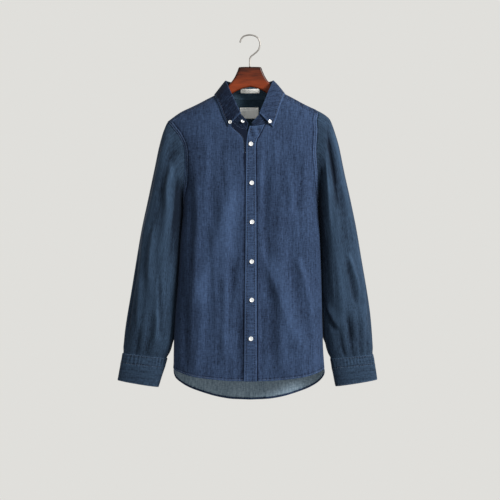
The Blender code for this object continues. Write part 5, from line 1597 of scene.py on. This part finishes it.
thread_lines, hole_lines = [], []
for i, (x, z) in enumerate(PLACKET_BUTTONS):
    way = way_of_x(x, z)
    spot, toward = body_cloth(way, z, FRONT, PLACKET_LIFT), body_normal(way, z, FRONT)
    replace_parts(make_button(f"shirt_button_{i + 1}", spot, toward, BUTTON_RADIUS), f"button_{i + 1}")
    slit = np.linspace(z + 8, z - 8, 24)
    for across in (-0.8, 0.8):
        hole_lines.append(body_line(way + across, slit, FRONT, PLACKET_LIFT + 0.1))
for hand, (x, z) in zip(("right", "left"), POINT_BUTTONS):
    spot, toward = button_grid_spot(*leaf_grid(301), x, z)
    made = make_button(f"shirt_point_button_{hand}", spot, toward, SMALL_BUTTON_RADIUS)
    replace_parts(made, f"point_button_{hand}")
spot, toward = button_grid_spot(*stand_grid(np.linspace(0, 1, 301)), -19, -227)
tipped = toward + STAND_TIP
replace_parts(make_button("shirt_stand_button", spot, tipped, SMALL_BUTTON_RADIUS, 1.3), "stand_button")
for hand, sign in (("right", -1), ("left", 1)):
    outer, normal, down, along = cuff_frames[sign]
    row = CUFF_ROWS // 2
    column = int(np.argmin(np.abs(along[row] - (along[row, -1] - 8.0))))
    spot = outer[row, column]
    made = make_button(f"shirt_cuff_button_{hand}", spot, normal[row, column], BUTTON_RADIUS)
    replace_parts(made, f"cuff_button_{hand}")

# %% [markdown]
# ## Hanger and hook
#
# The hanger is one board, sawn to an arch and rounded over. A section across it is a
# rectangle with round corners; sections are set along the arms and follow the upper and the
# lower outline. The hook is a bent wire: a ring of points carried along a smooth curve.

# %% Hanger
HANGER_HALF = 202.0
HANGER_TOP = [(0, -80.6), (14, -80.6), (27.5, -81.5), (33, -93), (38, -104), (45, -115.5),
              (54, -126), (63, -136.5), (74, -148.5)]
HANGER_FOOT = [(0, -132.7), (16.5, -136), (32, -142), (47, -150.5), (70, -163.5), (95, -178),
               (140, -201), (170, -217), (188, -226.5)]
HANGER_UNDER = 2.4      # below the yoke's ridge
HANGER_THICK = 14.0
HANGER_ROUND = 5.0
HANGER_STATIONS = 150
CORNER_STEPS = 6
FACE_SHARES = (0.2, 0.4, 0.6, 0.8)      # rows of points on the flat faces, between the corners


def hanger_line(sign, upper):
    """The upper or the lower outline of one arm, from the middle to the tip."""
    tip_z = float(ridge_z(HANGER_HALF - 8, sign)) - HANGER_UNDER
    foot_z = HANGER_FOOT[-1][1]
    if upper:
        arm_x = np.linspace(86, HANGER_HALF - 8, 9)
        rows = HANGER_TOP + [(x, float(ridge_z(x, sign)) - HANGER_UNDER) for x in arm_x]
        rows = rows + [(HANGER_HALF - 2, tip_z - 5.5)]
    else:
        rows = HANGER_FOOT + [(HANGER_HALF - 3, foot_z + 0.8), (HANGER_HALF, (tip_z + foot_z) / 2 - 3)]
    line = along_points(rows, np.linspace(0, 1, HANGER_STATIONS))
    return line * (sign, 1)


def make_hanger():
    """Sections between the outlines: quarter circles at the corners, straight between them."""
    lines = []
    for upper in (True, False):
        both = np.concatenate([hanger_line(-1, upper)[:0:-1], hanger_line(1, upper)])
        along = np.gradient(both, axis=0)
        inward = unit(np.stack([along[:, 1], -along[:, 0]], axis=-1)) * (1 if upper else -1)
        lines.append((both, inward))
    half = HANGER_THICK / 2
    bend = np.linspace(math.pi / 2, 0, CORNER_STEPS)
    corner = list(zip(HANGER_ROUND * (1 - np.sin(bend)), half - HANGER_ROUND * (1 - np.cos(bend))))
    ring, dark = [], []
    (top, top_in), (foot, foot_in) = lines
    for side in (-1, 1):
        upper_rows = [(top + top_in * share, side * depth) for share, depth in corner]
        lower_rows = [(foot + foot_in * share, side * depth) for share, depth in corner]
        face_top, face_foot = upper_rows[-1][0], lower_rows[-1][0]
        between = [(face_top * (1 - share) + face_foot * share, side * half) for share in FACE_SHARES]
        rows = upper_rows + between + lower_rows[::-1]
        # Painted shade along the rounded edges, darkest on the top corners and weaker on the lower ones,
        # carried in the wear attribute.
        shade = [1.0 - 0.15 * i for i in range(len(corner))] + [0] * len(FACE_SHARES)
        shade = shade + [0.45 - 0.07 * i for i in range(len(corner))][::-1]
        if side > 0:
            rows, shade = rows[::-1], shade[::-1]
        ring += rows
        dark += shade
    grid = np.stack([np.stack([flat[:, 0], np.full(len(flat), depth), flat[:, 1]], axis=-1)
                     for flat, depth in ring], axis=1)
    points, faces = closed_tube(grid)
    edge = np.broadcast_to(np.array(dark)[None], grid.shape[:2]).ravel()
    return put_mesh("wooden_hanger", points, faces, [WOOD], values={"wear": edge})


def lacquered_wood(name, deep, warm):
    """Stained hardwood: long rings along X, fine pores, lighter towards the foot, and painted shade along
    the rounded edges.
    """
    add, finish = new_material(name)
    place = object_place(add)
    long_rings = add("Mapping", Vector=place, Scale=(9.0, 60.0, 60.0))
    grown = add("TexNoise", Vector=long_rings, Scale=2.2, Detail=4.0, Distortion=0.6)
    thin = add("Mapping", Vector=place, Scale=(40.0, 900.0, 900.0))
    pores = add("TexNoise", Vector=thin, Scale=1.0, Detail=2.0)
    height = add("SeparateXYZ", Vector=place).node.outputs[2]
    low = add("MapRange", {"interpolation_type": "SMOOTHSTEP"}, i0=height,
              i1=-0.100, i2=-0.135, i3=0.0, i4=0.55)
    tone = weighted(add, 0.36, [(grown, 0.9), (pores, 0.35)])
    tone = times_plus(add, wear_and_shade_attribute(add), -0.55, add("Math", {"operation": "ADD"}, i0=tone, i1=low))
    return finish(blend_colours(add, tone, deep, warm), (0.25, 0.0003, pores), Roughness=0.42,
                  Specular_IOR_Level=0.16, Coat_Weight=0.06, Coat_Roughness=0.18)


def steel(name, colour, stain):
    """Plated wire: brushed along, with faint stains and a low sheen."""
    add, finish = new_material(name)
    place = object_place(add)
    stains = add("TexNoise", Vector=place, Scale=180.0, Detail=3.0)
    grind = add("TexNoise", Vector=add("Mapping", Vector=place, Scale=(1.0, 1.0, 6.0)), Scale=900.0)
    return finish(blend_colours(add, stains, stain, colour), (0.15, 0.0002, grind),
                  Metallic=1.0, Roughness=0.52)


WOOD = lacquered_wood("hanger_wood", (0.008, 0.0012, 0.0004), (0.140, 0.0215, 0.0038))
STEEL = steel("hook_steel", (0.36, 0.345, 0.33), (0.15, 0.14, 0.13))
hanger = make_hanger()
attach(hanger, BODY_NAME)
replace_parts(hanger, "hanger")

# %% Hook
HOOK_WIRE = 4.0
HOOK_PATH = [(-26, -18), (-22, -7.5), (-13.5, -0.3), (0, 2), (13, -0.8), (22.7, -9.5), (26, -22),
             (22, -36), (10, -48), (2, -54.5), (-0.5, -62), (-0.5, -70), (-0.5, -80.3)]
HOOK_SIDES, HOOK_ROWS = 14, 140


def make_hook():
    """A ring of points along the bent wire; the first rings shrink to a round tip."""
    flat = along_points(HOOK_PATH, np.linspace(0, 1, HOOK_ROWS))
    for _ in range(3):
        flat[1:-1] = flat[1:-1] * 0.5 + (flat[:-2] + flat[2:]) * 0.25
    line = np.stack([flat[:, 0], np.zeros(len(flat)), flat[:, 1]], axis=-1)
    ahead = unit(np.gradient(line, axis=0))
    out = unit(np.cross(ahead, (0.0, 1.0, 0.0)))
    length = lengths(line)
    radius = HOOK_WIRE / 2 * np.sqrt(1 - np.clip(1 - length / (HOOK_WIRE / 2), 0, 0.96) ** 2)
    turn = np.arange(HOOK_SIDES) * 2 * math.pi / HOOK_SIDES
    ring = out[:, None] * np.cos(turn)[None, :, None] + np.array([0, 1.0, 0]) * np.sin(turn)[None, :, None]
    points, faces = closed_tube(line[:, None] + ring * radius[:, None, None])
    return put_mesh("steel_hook", points, faces, [STEEL])


hook = make_hook()
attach(hook, BODY_NAME)
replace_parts(hook, "hook")
print("hanger and hook:", len(hanger.data.polygons), len(hook.data.polygons))

# %% [markdown]
# ## Rows of stitches
#
# The seams that show are sewn last, with the thread of the stitch builder: both armholes
# and the hem, the yoke's seams, the placket's two rows, the cuffs, the collar's edge and the
# stand's foot. Each row lies on its piece's own grid or on the body's surface with the same
# lift as the fold that it holds.

# %% Sew


def armhole_stitches(sign, face, inset):
    """A row on the armhole's fold, a steady distance inside its edge."""
    way, z = armhole_way(sign, face, np.linspace(yoke_share(sign, face), 1, 160))
    edge, normal = body_cloth(way, z, face), body_normal(way, z, face)
    run = np.gradient(edge, axis=0)
    inward = unit(np.cross(normal, run)) * (-sign if face == FRONT else sign)
    flat = edge + inward * inset
    return body_line(way_of_x(flat[:, 0], flat[:, 2]), flat[:, 2], face, ARM_RISE)


def grid_row(grid, normal, row, lift):
    """One row of a grid, lifted along its normals."""
    return grid[row] + normal[row] * lift, normal[row]


def contour(points, normals, distance, level):
    """Points of a grid's columns where the distance passes a level, from their foot up."""
    below = distance[::-1] < level
    first = np.argmin(below, axis=0)
    columns = np.arange(distance.shape[1])
    good = (first > 0) & (first < distance.shape[0] - 1)
    columns, first = columns[good], distance.shape[0] - 1 - first[good]
    low, high = distance[first + 1, columns], distance[first, columns]
    share = ((level - low) / (high - low))[:, None]
    at = points[first + 1, columns] * (1 - share) + points[first, columns] * share
    return at, normals[first, columns]


body_rows = []
for sign in (-1, 1):
    for face in (FRONT, BACK):
        for inset in ARM_STITCHES:
            body_rows.append(armhole_stitches(sign, face, inset))
for face, start, end in ((FRONT, -1.0, -0.08), (FRONT, 0.10, 1.0), (BACK, -1.0, 1.0)):
    way, z = hem_line(face, start, end, HEM_STITCH)
    extra = placket_step(way) if start > 0 else 0.0
    body_rows.append(body_line(way, z, face, HEM_RISE + extra))
band = np.array(BAND_LINE, float)
body_rows.append(body_line(band[:, 0] + 1.4, band[:, 1], FRONT, 0.75))
stitches("body_stitches", body_rows)

placket_rows = []
for table, side in ((PLACKET_FREE, 1), (PLACKET_SEWN, -1)):
    z = np.linspace(table[0][0] - 6, -884, 420)
    lean = np.cos(np.arctan(np.gradient(through(table, z), z)))
    way = through(table, z) + side * PLACKET_STITCH / lean
    placket_rows.append(body_line(way, z, FRONT, PLACKET_LIFT - 0.35))
stitches("placket_stitches", placket_rows)
stitches("buttonhole_stitches", hole_lines, DARK_THREAD, pitch=1.3, half=0.45)
stitches("button_thread", thread_lines, BLUE_THREAD, pitch=1.4, half=0.3)

grid, normal = leaf_grid(COLLAR_COLUMNS)
fall, outline = leaf_outline(grid)
to_edge, _ = seam_distance(fall, outline)
collar_rows = [contour(fall, normal[1 + LEAF_ROLL_ROWS:], to_edge, LEAF_STITCH)]
grid, normal = stand_grid(np.linspace(0, 1, COLLAR_COLUMNS))
collar_rows.append(grid_row(grid, normal, STAND_ROWS - 2, -0.1))
stitches("collar_stitches", collar_rows)

flat, up = on_yoke(YOKE_COLUMNS, YOKE_LIFT - 0.15)
stitches("yoke_stitches", [(flat[-2], up[-2]), (flat[:, 1], up[:, 1]), (flat[:, -2], up[:, -2])])

cuff_rows = []
for sign in (-1, 1):
    outer, normal, down, along = cuff_frames[sign]
    for place in CUFF_STITCHES + (float(down[-1].mean()) - 2.0,):
        row = int(np.argmin(np.abs(down.mean(axis=1) - place)))
        cuff_rows.append(grid_row(outer, normal, row, 0.05))
stitches("cuff_stitches", cuff_rows)

# %% [markdown]
# ## Studio
#
# The shirt hangs before a plain pale background. The light is a large soft source from the
# viewer's right and above, so that each fold has a bright right flank, and the pale
# surroundings fill the shadows. A weaker light behind keeps the back clear. The camera is
# level with the middle of the shirt and far away, so that the shirt is seen without
# distortion.

# %% Floor, lights and camera
FLOOR_Z = -1.40
FLOOR_RADIUS = 1.25
FLOOR_SIDES = 64
LENS_DISTANCE = 4.0
FIELD_WIDTH = 1.275     # width of the picture at the shirt's front
CAMERA_Z = -0.5533


def floor_material(name):
    """Matt pale paint with a faint unevenness."""
    add, finish = new_material(name)
    blotch = add("TexNoise", Vector=object_place(add), Scale=3.0, Detail=2.0)
    return finish(blend_colours(add, blotch, (0.24, 0.235, 0.227), (0.28, 0.275, 0.264)), Roughness=0.9)


radii = np.array([0.02, 0.4, 0.8, 1.0]) * FLOOR_RADIUS / MM
turn = np.arange(FLOOR_SIDES) * 2 * math.pi / FLOOR_SIDES
disc = np.stack([radii[:, None] * np.cos(turn), radii[:, None] * np.sin(turn),
                 np.full((4, FLOOR_SIDES), FLOOR_Z / MM)], axis=-1)
under = disc[::-1] - (0, 0, 10)
points, faces = closed_tube(np.concatenate([disc, under]))
floor = put_mesh("studio_floor", points, faces, [floor_material("floor_paint")])

world = bpy.data.worlds.new("studio_world")
world.use_nodes = True
background = world.node_tree.nodes["Background"]
background.inputs["Color"].default_value = (0.745, 0.738, 0.710, 1)
background.inputs["Strength"].default_value = 1.0
bpy.context.scene.world = world


def soft_light(name, spot, aim, size, power, colour=(1, 1, 1)):
    """A square area light at a spot, turned to its aim."""
    lamp = bpy.data.lights.new(name, "AREA")
    lamp.size = size
    lamp.energy = power
    lamp.color = colour
    made = bpy.data.objects.new(name, lamp)
    made.location = spot
    x, y, z = np.array(aim) - np.array(spot)
    made.rotation_euler = (math.atan2(math.hypot(x, y), -z), 0, math.atan2(y, x) - math.pi / 2)
    bpy.context.scene.collection.objects.link(made)


soft_light("key_light", (3.7, -3.15, 1.5), (0, 0, -0.5), 1.6, 620.0, (1.0, 0.985, 0.96))
soft_light("back_light", (-1.2, 3.8, -1.0), (0, 0, -0.6), 2.6, 120.0)

lens = bpy.data.cameras.new("studio_camera")
lens.sensor_width = 36.0
lens.lens = 36.0 * LENS_DISTANCE / FIELD_WIDTH
camera = bpy.data.objects.new("studio_camera", lens)
camera.location = (0, -LENS_DISTANCE - 0.05, CAMERA_Z)
camera.rotation_euler = (math.pi / 2, 0, 0)
bpy.context.scene.collection.objects.link(camera)
bpy.context.scene.camera = camera
bpy.context.scene.view_settings.view_transform = "Standard"
